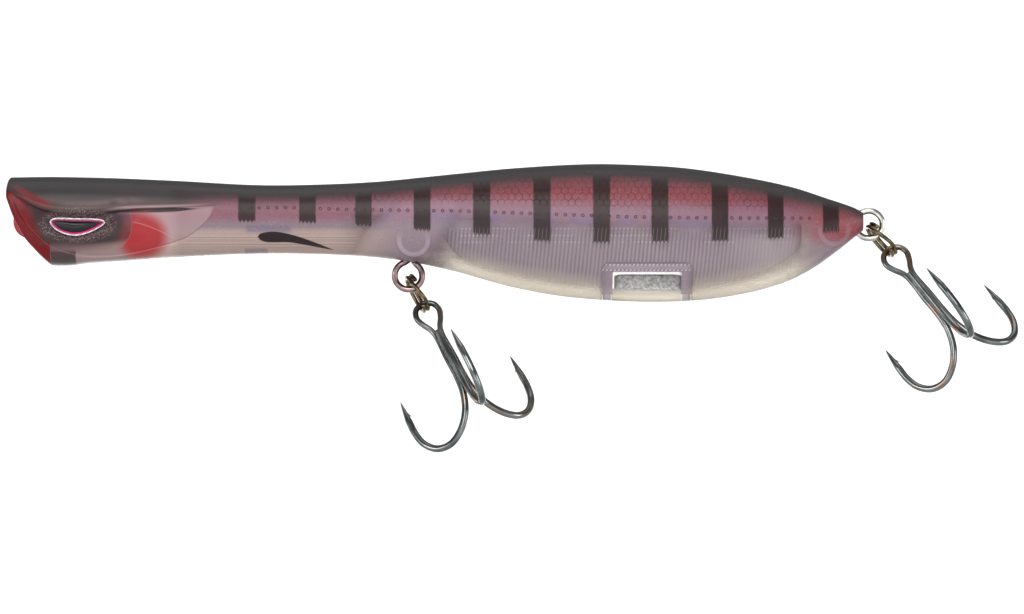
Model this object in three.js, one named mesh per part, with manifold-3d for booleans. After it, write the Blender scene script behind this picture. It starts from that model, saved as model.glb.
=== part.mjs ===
// A floating topwater popper, 120 mm from lip to tail: two clear moulded half shells welded on the
// centre plane over three wire hangers, a ballast slug and two inset eyes, with a treble hook hung
// from a split ring at the belly and another at the tail.
//
// Millimetres. X runs from the mouth to the tail, Z is up towards the back, and the lure swims
// towards -X, so -Y is its left side. The origin is the centre of the line-tie eye in the mouth.

import * as THREE from "three";
import { mergeVertices } from "three/addons/utils/BufferGeometryUtils.js";
import Module from "manifold-3d";

const wasm = await Module();
wasm.setup();
const rad = THREE.MathUtils.degToRad;

// ---------- driving dimensions ----------

const NOSE_X = -3.5; // where the body starts, just ahead of the lip that is cut from it
const TAIL_X = 116.9; // blunt end of the tail
const WALL = 1.3; // moulded wall thickness
const SEAM_GAP = 0.1; // between the two half shells
const SEAT_GAP = 0.1; // round a piece seated in the shells
const SIDES = 24; // points round each section of the body

const HANGER_WIRE_R = 0.45;
const HANGER_LOOP_R = 1.93; // centre of the wire, both loops of the figure of eight
const HANGER_PITCH = 5.05; // from the outer loop's centre to the embedded loop's centre

const RING_R = 2.65; // centre of a split ring's wire
const RING_WIRE_R = 0.28;
const RING_COIL_STEP = 0.62; // between its two coils
const RING_CROSSING = 84; // degrees over which the wire crosses from one coil to the other
const RING_DROP = 2.8; // from the hanger loop's centre to the ring's centre
const RING_TWIST = 9; // degrees that the ring stands off square to its hanger

const HOOK_WIRE_R = 0.42;
const HOOK_EYE_DROP = 3.44; // from the split ring's centre to the hook eye's centre
const HOOK_SWING = 27; // degrees that the hooks lie over to the left
const HOOK_TURN = 78; // degrees that the brazed-on hook points round from the tail to the left
const SHANK_OFFSET = 0.56; // centre of each shank wire from the hook's own axis
const POINT_LENGTH = 3.7; // ground taper of each hook
const BARB_LENGTH = 1.5;

const SOCKET_FLOOR = 4.85; // half the width between the floors of the two eye sockets
const FOIL_THICK = 0.2;
const LENS_THICK = 0.4;

// Each figure-of-eight hanger: the centre of its outer loop, and the direction in which the wire
// runs into the body, in degrees from +X towards +Z.
const LINE_TIE = { x: 0, z: 0, inward: 0 };
const BELLY_HANGER = { x: 53.1, z: -7.6, inward: 80.8 };
const TAIL_HANGER = { x: 117.7, z: -0.42, inward: 188 };

// How far each chain of split ring and hook is swept back from straight down, and how much of that
// the hook gives up again, in degrees.
const BELLY_CHAIN = { sweep: 27, giveUp: 3.1 };
const TAIL_CHAIN = { sweep: 40, giveUp: 6.1 };

// The ballast pocket: two cross walls and a lid round a box that holds the slug.
const POCKET = { x0: 80.2, x1: 92.8, lidTop: -5.9, lidBottom: -6.98, floor: -9.8, halfWidth: 2.5 };
const POCKET_WALL = 1.45;
const SLUG = { x0: 82.0, x1: 91.3, top: -7.42, bottom: -9.68, halfWidth: 2.2 };

// ---------- outlines of the body, [x, value] ----------

const BACK_LINE = [
  [-3.6, 6.2], [3, 6.27], [11, 6.12], [21, 5.7], [31, 5.16], [38, 5.14], [48, 5.55],
  [58, 6.52], [68, 7.5], [78, 8.06], [85, 7.96], [92, 7.5], [100, 6.3], [107, 4.82],
  [112, 3.2], [115.4, 2.05], [TAIL_X, 1.3],
];
const BELLY_LINE = [
  [-3.6, -6.2], [3, -6.18], [11, -5.68], [21, -4.98], [31, -4.54], [38, -4.52], [46, -4.84],
  [53, -5.6], [60, -7.1], [67, -9.05], [74, -10.4], [81, -11.06], [88, -11.28], [95, -10.92],
  [101, -9.95], [106, -8.5], [110, -6.5], [113.5, -4.0], [115.6, -2.3], [TAIL_X, -1.25],
];
const HALF_WIDTH = [
  [-3.6, 5.6], [3, 5.95], [10, 5.8], [20, 5.2], [30, 4.75], [38, 4.65], [48, 5.0],
  [58, 5.8], [68, 6.8], [78, 7.6], [86, 7.85], [95, 7.4], [103, 6.1], [110, 4.1],
  [114, 2.6], [TAIL_X, 1.15],
];
// The lip seen from the side, [z, x]: upright above, raked back below.
const LIP_LINE = [
  [-6.4, 3.2], [-5.4, 2.25], [-4.0, 1.05], [-2.6, -0.15], [-1.0, -1.15], [0.5, -1.9],
  [2.2, -2.55], [3.6, -3.0], [6.4, -2.85],
];
// Floors of the two hollows, [x, z]. The rear one steps down behind the belly hanger's block.
const NECK_FLOOR = [[20, -2.5], [48, -2.5]];
const REAR_FLOOR = [
  [46, -0.7], [52, -0.9], [57, -1.3], [59.5, -4.4], [61.7, -5.9], [69.6, -7.9], [79.9, -9.26],
  [86, -9.6], [93, -9.53], [100.2, -8.28], [107.7, -5.95], [110, -5],
];

// A smooth curve through points whose first number rises: cubic pieces whose slope at each point
// is that of the chord between its neighbours.
function through(points) {
  const last = points.length - 1;
  const slope = points.map((_, i) => {
    const before = points[Math.max(i - 1, 0)];
    const after = points[Math.min(i + 1, last)];
    return (after[1] - before[1]) / (after[0] - before[0]);
  });
  return (x) => {
    let i = 0;
    while (i < last - 1 && x > points[i + 1][0]) i += 1;
    const [[x0, y0], [x1, y1]] = [points[i], points[i + 1]];
    const t = THREE.MathUtils.clamp((x - x0) / (x1 - x0), 0, 1);
    const start = t * (1 - t) * (1 - t) * (x1 - x0) * slope[i];
    const end = t * t * (t - 1) * (x1 - x0) * slope[i + 1];
    return y0 + (y1 - y0) * t * t * (3 - 2 * t) + start + end;
  };
}

const backAt = through(BACK_LINE);
const bellyAt = through(BELLY_LINE);
const halfWidthAt = through(HALF_WIDTH);
const lipAt = through(LIP_LINE);
const powered = (value, power) => Math.sign(value) * Math.abs(value) ** power;

// ---------- solids ----------

// A closed geometry as a manifold solid.
function solid(geometry) {
  const bare = geometry.clone();
  bare.deleteAttribute("normal");
  bare.deleteAttribute("uv");
  const merged = mergeVertices(bare, 1e-4);
  const corners = merged.index.array;
  const kept = [];
  for (let i = 0; i < corners.length; i += 3) {
    const [a, b, c] = corners.slice(i, i + 3);
    if (a !== b && b !== c && a !== c) kept.push(a, b, c);
  }
  return new wasm.Manifold(
    new wasm.Mesh({
      numProp: 3,
      vertProperties: new Float32Array(merged.attributes.position.array),
      triVerts: new Uint32Array(kept),
    }),
  );
}

// A manifold solid as a geometry again.
function geometryOf(body) {
  const mesh = body.getMesh();
  const geometry = new THREE.BufferGeometry();
  geometry.setAttribute("position", new THREE.BufferAttribute(mesh.vertProperties, mesh.numProp));
  geometry.setIndex(new THREE.BufferAttribute(mesh.triVerts, 1));
  geometry.computeVertexNormals();
  return geometry;
}

function box(x0, x1, y0, y1, z0, z1) {
  const geometry = new THREE.BoxGeometry(x1 - x0, y1 - y0, z1 - z0);
  geometry.translate((x0 + x1) / 2, (y0 + y1) / 2, (z0 + z1) / 2);
  return solid(geometry);
}

// A round wire along an open curve.
function wire(curve, radius, steps) {
  const round = new THREE.Shape().absarc(0, 0, radius, 0, 2 * Math.PI);
  return solid(new THREE.ExtrudeGeometry(round, { steps, curveSegments: 3, extrudePath: curve }));
}

// A cone whose base is centred on a point, with its tip along a direction.
function spike(base, direction, length, radius) {
  const cone = new THREE.CylinderGeometry(0.03, radius, length, 6);
  cone.translate(0, length / 2, 0);
  const turn = new THREE.Quaternion();
  turn.setFromUnitVectors(new THREE.Vector3(0, 1, 0), direction.clone().normalize());
  cone.applyQuaternion(turn);
  cone.translate(base.x, base.y, base.z);
  return solid(cone);
}

// A closed cylinder bent to the body: each of its rings becomes the section at stationAt(share),
// drawn in by a wall at the top and sides, standing on floorAt, and shrunk by shrinkAt(share).
// The section is a superellipse, squarer at the head than at the tail.
function lofted({ sides, stations, stationAt, shrinkAt, floorAt, wall }) {
  const geometry = new THREE.CylinderGeometry(1, 1, 1, sides, stations, false);
  const place = geometry.attributes.position;
  for (let i = 0; i < place.count; i += 1) {
    const share = place.getY(i) + 0.5;
    const x = stationAt(share);
    const top = backAt(x) - wall;
    const bottom = floorAt(x);
    const middle = bottom + (top - bottom) * 0.53;
    const across = place.getX(i);
    const upward = place.getZ(i);
    const power = 2 / (2.15 + 0.55 * (1 - THREE.MathUtils.smoothstep(x, 4, 34)));
    const rise = upward > 0 ? top - middle : middle - bottom;
    const shrink = shrinkAt(share);
    const y = -shrink * (halfWidthAt(x) - wall) * powered(across, power);
    place.setXYZ(i, x, y, middle + shrink * rise * powered(upward, power));
  }
  return solid(geometry);
}

function bodySolid() {
  return lofted({
    sides: SIDES,
    stations: 38,
    // stations close up towards the tail, where the body tapers fastest
    stationAt: (share) => {
      const eased = 0.6 * share + 0.4 * Math.sin((Math.PI / 2) * share);
      return NOSE_X + (TAIL_X - NOSE_X) * eased;
    },
    shrinkAt: () => 1,
    floorAt: bellyAt,
    wall: 0,
  });
}

// A hollow from x0 to x1, one wall inside the body, with its ends rounded over.
function hollow(x0, x1, floorPoints, stations) {
  const SQUARENESS = 5;
  const reachAt = (share) => 0.9999 * Math.sin((Math.PI / 2) * (2 * share - 1));
  return lofted({
    sides: 16,
    stations,
    stationAt: (share) => (x0 + x1) / 2 + ((x1 - x0) / 2) * reachAt(share),
    shrinkAt: (share) => (1 - Math.abs(reachAt(share)) ** SQUARENESS) ** (1 / SQUARENESS),
    floorAt: through(floorPoints),
    wall: WALL,
  });
}

// The space ahead of the raked lip, and the concave face of the mouth.
function mouthSpace() {
  const outline = new THREE.Shape();
  outline.moveTo(-9, -6.4);
  for (let step = 0; step <= 16; step += 1) {
    const z = -6.4 + 0.8 * step;
    outline.lineTo(lipAt(z), z);
  }
  outline.lineTo(-9, 6.4);
  const front = new THREE.ExtrudeGeometry(outline, { depth: 16, bevelEnabled: false });
  front.translate(0, 0, -8);
  front.rotateX(Math.PI / 2);

  const cup = new THREE.SphereGeometry(1, 20, 12);
  cup.scale(2.8, 4.7, 5.9);
  cup.rotateY(rad(-25.7));
  cup.translate(-1.1, 0, -0.42);
  return solid(front).add(solid(cup));
}

// ---------- hangers, eyes and ballast ----------

// A figure-of-eight wire in the centre plane.
function hangerSolid({ x, z, inward }, wireR) {
  const dx = Math.cos(rad(inward));
  const dz = Math.sin(rad(inward));
  const loop = (along) => {
    const torus = new THREE.TorusGeometry(HANGER_LOOP_R, wireR, 8, 18);
    torus.rotateX(Math.PI / 2);
    torus.translate(x + along * dx, 0, z + along * dz);
    return solid(torus);
  };
  const stem = new THREE.CylinderGeometry(wireR * 1.35, wireR * 1.35, 1.6, 8);
  stem.rotateZ(-Math.PI / 2);
  stem.rotateY(-rad(inward));
  stem.translate(x + (HANGER_PITCH / 2) * dx, 0, z + (HANGER_PITCH / 2) * dz);
  return loop(0).add(loop(HANGER_PITCH)).add(solid(stem));
}

// The half-moon outline of an eye, level above and bowed below, grown all round by a margin.
function eyeShape(margin) {
  const [front, back] = [3.3 - margin, 10.5 + margin];
  const [top, bottom] = [0.25 + margin, -2.55 - 1.3 * margin];
  const shape = new THREE.Shape();
  shape.moveTo(front, top - 0.3);
  shape.quadraticCurveTo(front + 0.1, top, front + 0.9, top);
  shape.lineTo(back - 1.4, top - 0.1);
  shape.quadraticCurveTo(back, top - 0.3, back, top - 0.7);
  shape.bezierCurveTo(back - 2.4, bottom, front + 1.6, bottom, front, top - 0.3);
  return shape;
}

// An eye-shaped plate standing in the head between two distances from the centre plane, on the
// left side (side -1) or the right (side 1).
function eyePlate(side, margin, inner, outer) {
  const plate = new THREE.ExtrudeGeometry(eyeShape(margin), {
    depth: outer - inner,
    bevelEnabled: false,
    curveSegments: 5,
  });
  plate.rotateX(Math.PI / 2);
  plate.translate(0, side > 0 ? outer : -inner, 0);
  return solid(plate);
}

// Two cross walls and a lid, reaching into the walls of the body.
function pocketWalls() {
  const { x0, x1, lidTop, lidBottom } = POCKET;
  const inside = box(x0 + POCKET_WALL, x1 - POCKET_WALL, -9, 9, -13, lidBottom);
  const walls = box(x0, x1, -8, 8, -12, lidTop).subtract(inside);
  const room = lofted({
    sides: 16,
    stations: 6,
    stationAt: (share) => x0 - 3 + (x1 - x0 + 6) * share,
    shrinkAt: () => 1,
    floorAt: (x) => bellyAt(x) + WALL / 2,
    wall: WALL / 2,
  });
  return walls.intersect(room);
}

function slugSolid() {
  const { x0, x1, top, bottom, halfWidth } = SLUG;
  const slug = new THREE.Shape();
  slug.moveTo(-halfWidth, top);
  slug.lineTo(-halfWidth, bottom + 0.7);
  slug.lineTo(-halfWidth + 0.7, bottom);
  slug.lineTo(halfWidth - 0.7, bottom);
  slug.lineTo(halfWidth, bottom + 0.7);
  slug.lineTo(halfWidth, top);
  const bar = new THREE.ExtrudeGeometry(slug, { depth: x1 - x0, bevelEnabled: false });
  bar.rotateX(Math.PI / 2);
  bar.rotateZ(Math.PI / 2);
  bar.translate(x0, 0, 0);
  return solid(bar);
}

// ---------- the half shells ----------

function shells() {
  let body = bodySolid().subtract(mouthSpace());
  body = body.subtract(hollow(21.8, 45.5, NECK_FLOOR, 10));
  body = body.subtract(hollow(48, 108.2, REAR_FLOOR, 22));
  body = body.add(pocketWalls());
  const { x0, x1, lidBottom, floor, halfWidth } = POCKET;
  body = body.subtract(
    box(x0 + POCKET_WALL, x1 - POCKET_WALL, -halfWidth, halfWidth, floor, lidBottom),
  );
  for (const place of [LINE_TIE, BELLY_HANGER, TAIL_HANGER]) {
    body = body.subtract(hangerSolid(place, HANGER_WIRE_R + SEAT_GAP));
  }
  for (const side of [-1, 1]) {
    body = body.subtract(eyePlate(side, 0.4, SOCKET_FLOOR, SOCKET_FLOOR + 3));
  }
  const half = SEAM_GAP / 2;
  return {
    left: body.subtract(box(-9, 130, -half, 20, -20, 20)),
    right: body.subtract(box(-9, 130, -20, half, -20, 20)),
  };
}

// ---------- split ring and treble hook, each hanging down from its own origin ----------

// Two flat coils side by side, joined by one crossing: the ring lies in the YZ plane.
class SplitRingCurve extends THREE.Curve {
  getPoint(share, target = new THREE.Vector3()) {
    const halfSweep = 360 - RING_CROSSING / 2;
    const along = (2 * share - 1) * halfSweep;
    const across = THREE.MathUtils.smoothstep(along, -RING_CROSSING / 2, RING_CROSSING / 2) - 0.5;
    const angle = rad(along + 180);
    return target.set(
      across * RING_COIL_STEP,
      RING_R * Math.cos(angle),
      RING_R * Math.sin(angle),
    );
  }
}

// One hook of a treble from its shank to the root of its point, [down the shank, out from it].
const HOOK_LINE = [
  [3.5, SHANK_OFFSET], [7.5, SHANK_OFFSET], [11.2, SHANK_OFFSET], [13.8, 0.9], [16.3, 2.0],
  [18.1, 3.85], [18.85, 6.0], [18.2, 8.05], [16.3, 9.5], [14.2, 9.95], [12.6, 9.95],
];
const HOOK_TIP = [8.8, 9.75];

// The eye loop above the shank, [down from its centre, across], on one side.
const EYE_LINE = [[2.5, 0.75], [1.35, 1.35], [0.1, 1.72], [-1.15, 1.3]];
const EYE_TOP = [-1.72, 0];

// A point of a hook whose plane stands at an azimuth round the shank.
function hookPoint([down, out], azimuth) {
  return new THREE.Vector3(out * Math.cos(azimuth), out * Math.sin(azimuth), -down);
}

// The ground point and the barb of one hook, at its azimuth.
function pointOf(azimuth) {
  const root = hookPoint(HOOK_LINE[HOOK_LINE.length - 1], azimuth);
  const tip = hookPoint(HOOK_TIP, azimuth);
  const along = tip.clone().sub(root).normalize();
  const base = root.clone().addScaledVector(along, -0.15);
  const barbRoot = root.clone().addScaledVector(along, 2.1);
  const inward = hookPoint([0, -1], azimuth);
  const barbWay = inward.multiplyScalar(0.55).addScaledVector(along, -1);
  return spike(base, along, POINT_LENGTH, HOOK_WIRE_R).add(
    spike(barbRoot, barbWay, BARB_LENGTH, 0.16),
  );
}

// The two hooks that one wire makes, with the eye bent between them.
function doubleHook() {
  const azimuths = [rad(120), rad(240)];
  const [left, right] = azimuths.map((azimuth) => HOOK_LINE.map((p) => hookPoint(p, azimuth)));
  const plane = left[0].x;
  const eyeSide = (sign) => EYE_LINE.map(([d, out]) => new THREE.Vector3(plane, sign * out, -d));
  const crown = new THREE.Vector3(plane, EYE_TOP[1], -EYE_TOP[0]);
  const path = [...left.reverse(), ...eyeSide(1), crown, ...eyeSide(-1).reverse(), ...right];
  const bent = wire(new THREE.CatmullRomCurve3(path), HOOK_WIRE_R, 72);
  return azimuths.reduce((hook, azimuth) => hook.add(pointOf(azimuth)), bent);
}

function singleHook() {
  const path = HOOK_LINE.map((p) => hookPoint(p, 0));
  return wire(new THREE.CatmullRomCurve3(path), HOOK_WIRE_R, 30).add(pointOf(0));
}

// ---------- the assembly ----------

const COLOUR = {
  shell: { color: 0xb59aa6, roughness: 0.18, metalness: 0 },
  redWire: { color: 0x9c2028, roughness: 0.35, metalness: 0.5 },
  bellyWire: { color: 0xa08890, roughness: 0.35, metalness: 0.8 },
  tailWire: { color: 0xd8d4d0, roughness: 0.3, metalness: 0.8 },
  foil: { color: 0xc03070, roughness: 0.3, metalness: 0.6 },
  lens: { color: 0x201018, roughness: 0.05, metalness: 0 },
  ballast: { color: 0xa8aaac, roughness: 0.55, metalness: 0.9 },
  ring: { color: 0x6b5a44, roughness: 0.25, metalness: 1 },
  hook: { color: 0x4a4e52, roughness: 0.25, metalness: 1 },
};

const lure = new THREE.Group();

function addNode(parent, name, body, finish) {
  const mesh = new THREE.Mesh(geometryOf(body), new THREE.MeshStandardMaterial(finish));
  mesh.name = name;
  parent.add(mesh);
}

function addEye(side, name) {
  const foilOuter = SOCKET_FLOOR + SEAT_GAP + FOIL_THICK;
  const lensInner = foilOuter + SEAT_GAP;
  const foil = eyePlate(side, 0.2, SOCKET_FLOOR + SEAT_GAP, foilOuter);
  addNode(lure, `${name}_eye_foil`, foil, COLOUR.foil);
  const lens = eyePlate(side, -0.1, lensInner, lensInner + LENS_THICK);
  addNode(lure, `${name}_eye_lens`, lens, COLOUR.lens);
}

// A split ring and its treble hook under a hanger. The ring turns about the hanger loop's centre,
// and the hook about the ring's own centre line.
function addChain(place, { sweep, giveUp }, name) {
  const chain = new THREE.Group();
  chain.position.set(place.x, 0, place.z);
  chain.rotation.y = -rad(sweep);
  lure.add(chain);

  const ring = new THREE.Group();
  ring.position.z = -RING_DROP;
  ring.rotation.z = rad(RING_TWIST);
  chain.add(ring);
  addNode(ring, `${name}_split_ring`, wire(new SplitRingCurve(), RING_WIRE_R, 52), COLOUR.ring);

  const swing = new THREE.Group();
  swing.rotation.set(-rad(HOOK_SWING), rad(giveUp), 0);
  ring.add(swing);
  const treble = new THREE.Group();
  treble.position.z = -HOOK_EYE_DROP;
  treble.rotation.z = -rad(HOOK_TURN + RING_TWIST);
  swing.add(treble);
  addNode(treble, `${name}_treble_double`, doubleHook(), COLOUR.hook);
  addNode(treble, `${name}_treble_single`, singleHook(), COLOUR.hook);
}

const { left, right } = shells();
addNode(lure, "left_shell", left, COLOUR.shell);
addNode(lure, "right_shell", right, COLOUR.shell);
addNode(lure, "line_tie", hangerSolid(LINE_TIE, HANGER_WIRE_R), COLOUR.redWire);
addNode(lure, "belly_hanger", hangerSolid(BELLY_HANGER, HANGER_WIRE_R), COLOUR.bellyWire);
addNode(lure, "tail_hanger", hangerSolid(TAIL_HANGER, HANGER_WIRE_R), COLOUR.tailWire);
addNode(lure, "ballast_slug", slugSolid(), COLOUR.ballast);
addEye(-1, "left");
addEye(1, "right");
addChain(BELLY_HANGER, BELLY_CHAIN, "belly");
addChain(TAIL_HANGER, TAIL_CHAIN, "tail");

export default lure;
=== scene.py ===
"""Topwater popper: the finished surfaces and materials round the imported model.

Lengths in the shape functions are millimetres in the model's own frame: X from the mouth to the
tail, Z towards the back, -Y the left side, origin at the line-tie eye. Meshes are written in
metres.
"""

import bmesh
import bpy
import numpy as np
from bpy.props import FloatProperty, FloatVectorProperty, IntProperty, PointerProperty
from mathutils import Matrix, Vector


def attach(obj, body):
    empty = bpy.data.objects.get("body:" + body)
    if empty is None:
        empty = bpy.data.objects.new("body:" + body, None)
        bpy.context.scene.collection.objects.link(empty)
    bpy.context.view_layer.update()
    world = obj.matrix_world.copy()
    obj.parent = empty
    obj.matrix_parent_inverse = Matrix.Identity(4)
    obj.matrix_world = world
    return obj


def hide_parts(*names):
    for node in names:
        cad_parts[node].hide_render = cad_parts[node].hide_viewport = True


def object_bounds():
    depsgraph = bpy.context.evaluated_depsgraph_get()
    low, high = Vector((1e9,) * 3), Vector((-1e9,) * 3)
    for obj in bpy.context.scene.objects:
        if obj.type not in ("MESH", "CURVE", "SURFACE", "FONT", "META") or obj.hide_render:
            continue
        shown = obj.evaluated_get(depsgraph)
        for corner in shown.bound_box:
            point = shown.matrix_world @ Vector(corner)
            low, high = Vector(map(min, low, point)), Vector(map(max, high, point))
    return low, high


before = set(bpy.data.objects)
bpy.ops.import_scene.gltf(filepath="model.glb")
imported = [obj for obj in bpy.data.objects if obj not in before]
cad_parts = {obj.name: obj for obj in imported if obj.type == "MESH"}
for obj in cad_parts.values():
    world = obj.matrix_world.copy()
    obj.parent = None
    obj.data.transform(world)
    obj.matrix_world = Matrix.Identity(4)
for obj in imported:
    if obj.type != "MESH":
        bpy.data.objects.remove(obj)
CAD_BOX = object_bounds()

bl_info = {
    "name": "Topwater popper",
    "version": (1, 0, 0),
    "blender": (4, 5, 0),
    "location": "View3D > Sidebar > Popper",
    "description": "Makes the surfaces, wires, finishes and stage of a topwater popper",
    "category": "Add Mesh",
}

MM = 0.001

# ---------- outlines of the body, [along, value] in millimetres ----------

BACK_LINE = [
    (-3.6, 6.2), (3, 6.27), (11, 6.12), (21, 5.7), (31, 5.16), (38, 5.14), (48, 5.55),
    (58, 6.52), (68, 7.5), (78, 8.06), (85, 7.96), (92, 7.5), (100, 6.3), (107, 4.82),
    (112, 3.2), (115.4, 2.05), (116.9, 1.3),
]
BELLY_LINE = [
    (-3.6, -6.2), (3, -6.18), (11, -5.68), (21, -4.98), (31, -4.54), (38, -4.52), (46, -4.84),
    (53, -5.6), (60, -7.1), (67, -9.05), (74, -10.4), (81, -11.06), (88, -11.28), (95, -10.92),
    (101, -9.95), (106, -8.5), (110, -6.5), (113.5, -4.0), (115.6, -2.3), (116.9, -1.25),
]
HALF_WIDTH = [
    (-3.6, 5.6), (3, 5.95), (10, 5.8), (20, 5.2), (30, 4.75), (38, 4.65), (48, 5.0),
    (58, 5.8), (68, 6.8), (78, 7.6), (86, 7.85), (95, 7.4), (103, 6.1), (110, 4.1),
    (114, 2.6), (116.9, 1.15),
]
LIP_LINE = [
    (-6.4, 3.2), (-5.4, 2.25), (-4.0, 1.05), (-2.6, -0.15), (-1.0, -1.15), (0.5, -1.9),
    (2.2, -2.55), (3.6, -3.0), (6.4, -2.85),
]
REAR_FLOOR = [
    (46, -0.7), (52, -0.9), (57, -1.3), (59.5, -4.4), (61.7, -5.9), (69.6, -7.9), (79.9, -9.26),
    (86, -9.6), (93, -9.53), (100.2, -8.28), (107.7, -5.95), (110, -5),
]
NECK_FLOOR = -2.5
NECK_HOLLOW = (21.8, 45.5)
REAR_HOLLOW = (48.0, 108.2)
END_SQUARENESS = 5.0
TAIL_X = 116.9
TAIL_BULGE = 0.05  # how far the blunt tail's last point stands out
RIM_SETBACK = 0.3  # from the lip's front to where the flank starts
CUP_DEPTH = 3.3
CUP_SHARE = 0.84  # the cup's edge, as a share of the way from its middle to the rim
SOLID_FROM, SOLID_TO = -3.0, 4.0  # the closed inner surface's end in the solid nose
HOLLOWS_PART = 46.8  # where the neck hollow gives way to the rear one
MIDDLE_SHARE = 0.53  # height of a section's widest level, as a share of its height

# Lines moulded or painted on the flank, [along, height].
BROW_LINE = [
    (-3.2, 4.6), (-1.7, 3.7), (1.4, 1.95), (4.2, 1.25), (9.8, 1.15), (13, 1.6), (19, 1.8),
    (25.3, 2.05), (30, 2.4),
]
CHEEK_LINE = [
    (-3.2, 3.2), (-1.96, 2.6), (-1.1, 0.93), (0.7, -1.2), (2.8, -3.2), (5.6, -4.4), (8.4, -4.95),
    (12.6, -4.8), (16.8, -4.0), (21.8, -2.55), (23.9, -1.2), (25.4, 0.4), (26.2, 2.1), (28, 6.5),
]
GILL_LINE = [(-6.0, 11.6), (-4.3, 12.6), (-2.9, 13.8), (-1.6, 14.5), (0.3, 14.6), (1.6, 14.3)]
OPERCLE_LINE = [(13, -0.05), (14.6, -0.1), (17.1, -0.8), (19.1, -1.7), (20.8, -2.7), (23, -4)]
PORE_LINE = [
    (28, 1.77), (36.5, 1.87), (44.5, 1.63), (61.6, 1.35), (68.8, 1.07), (82.4, 0.6), (92.1, 0.42),
    (110, 0.39), (117, 0.35),
]
PORE_SPAN = (29.9, 110.2)
PORE_RADIUS, PORE_EDGE = 0.185, 0.06
PORE_SIDES, PORE_TUBE_SIDES = 14, 6
BAR_CENTRES = [30.6, 39.1, 46.9, 55.1, 63.4, 71.8, 80.1, 88.2, 96.6, 104.4, 112.2]
BAR_PITCH = 8.2
BAR_FEET = [0.03, -0.13, -0.6, -1.21, -1.88, -2.79, -3.02, -2.92, -2.79, -2.4, -1.49]
FIN_TOP = [
    (30, -4), (31.9, -2.4), (32.4, -1.75), (34.5, -1.45), (37, -1.9), (40, -2.9), (42.8, -4.02),
    (46, -5.4),
]
FIN_FOOT = [
    (30, -0.5), (31.9, -1.9), (32.4, -2.6), (33.4, -2.95), (36.6, -3.0), (39.6, -3.5),
    (42.8, -4.06), (46, -4.2),
]

# The half-moon eye, [along, height], and how far in from the head's side its parts stand.
EYE_BROW = [
    (3.3, -0.12), (3.5, 0.16), (4.1, 0.3), (6.5, 0.26), (9.4, 0.2), (10.4, 0.08), (10.75, -0.2),
]
EYE_FOOT = [
    (3.3, -0.15), (3.75, -0.85), (4.6, -1.42), (5.7, -1.8), (6.9, -1.92), (8.3, -1.62),
    (9.6, -1.05), (10.75, -0.25),
]
EYE_CENTRE = (6.7, -0.6)
SOCKET_FLOOR = 4.85

POCKET = {"x0": 80.2, "x1": 92.8, "lid_top": -5.9, "lid_foot": -6.98, "wall": 1.45}
SLUG = {"x0": 82.0, "x1": 91.3, "top": -7.42, "bottom": -9.68, "half_width": 2.2}

# Each hanger: its outer loop's centre, and the direction it runs into the body, degrees from +X.
LOOP_RADIUS = 1.93
LOOP_PITCH = 5.05
HANGERS = {
    "line_tie": (0.0, 0.0, 0.0),
    "belly_hanger": (53.1, -7.6, 80.8),
    "tail_hanger": (117.7, -0.42, 188.0),
}

# Each chain: the hanger that it hangs from, its sweep towards the tail, and how much of that the
# hook gives up, in degrees.
CHAINS = {"belly": ("belly_hanger", 27.0, 3.1), "tail": ("tail_hanger", 40.0, 6.1)}
RING_RADIUS = 2.65
RING_COIL_STEP = 0.62
RING_CROSSING = 84
RING_DROP = 2.8
RING_TWIST = 9
HOOK_EYE_DROP = 3.44
HOOK_SWING = 27
HOOK_TURN = 78
POINT_LENGTH = 3.4
BARB_PLACE, BARB_LENGTH, BARB_RADIUS = 2.1, 1.5, 0.17
BRAZE_TOP, BRAZE_LENGTH, BRAZE_RADIUS = 3.3, 8.4, 0.68

# One hook from shank to point, [down, out], and the eye loop above the shank, [down, across].
HOOK_LINE = [
    (3.5, 0.56), (7.5, 0.56), (11.2, 0.56), (13.8, 0.9), (16.3, 2.0), (18.1, 3.85), (18.85, 6.0),
    (18.2, 8.05), (16.3, 9.5), (14.2, 9.95), (12.6, 9.95),
]
HOOK_TIP = (8.8, 9.75)
EYE_LINE = [(2.5, 0.75), (1.35, 1.35), (0.1, 1.72), (-1.15, 1.3)]
EYE_TOP = -1.72
EYE_SETBACK = -0.28  # how far the bent pair stands back from the middle of the shank

# The stage, in metres: a floor that lies flat to BOWL_FLAT of its radius, then rises.
STAGE_MIDDLE = 0.06
FLOOR_DROP = 0.12
BOWL_RADIUS, BOWL_HEIGHT, BOWL_FLAT = 2.7, 0.8, 0.62
CAMERA_X, CAMERA_Z = 0.06763, -0.01199
SENSOR_WIDTH = 36

# Area lights: name, place, the point that it faces, width and watts.
LIGHTS = [
    ("key", (-0.05, -1.0, 0.55), (STAGE_MIDDLE, 0.0, 0.0), 0.8, 6.0),
    ("fill_left", (-1.0, -0.55, 0.1), (STAGE_MIDDLE, 0.0, 0.0), 0.5, 2.4),
    ("fill_right", (1.1, -0.55, 0.1), (STAGE_MIDDLE, 0.0, 0.0), 0.5, 2.4),
    ("far_wall", (STAGE_MIDDLE, 0.5, 0.8), (STAGE_MIDDLE, 2.4, 0.1), 1.0, 42.0),
    ("near_wall", (STAGE_MIDDLE, -0.5, 0.8), (STAGE_MIDDLE, -2.4, 0.1), 1.0, 18.0),
    ("top", (STAGE_MIDDLE, 0.1, 2.0), (STAGE_MIDDLE, 0.0, 0.0), 1.8, 8.0),
]


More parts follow.
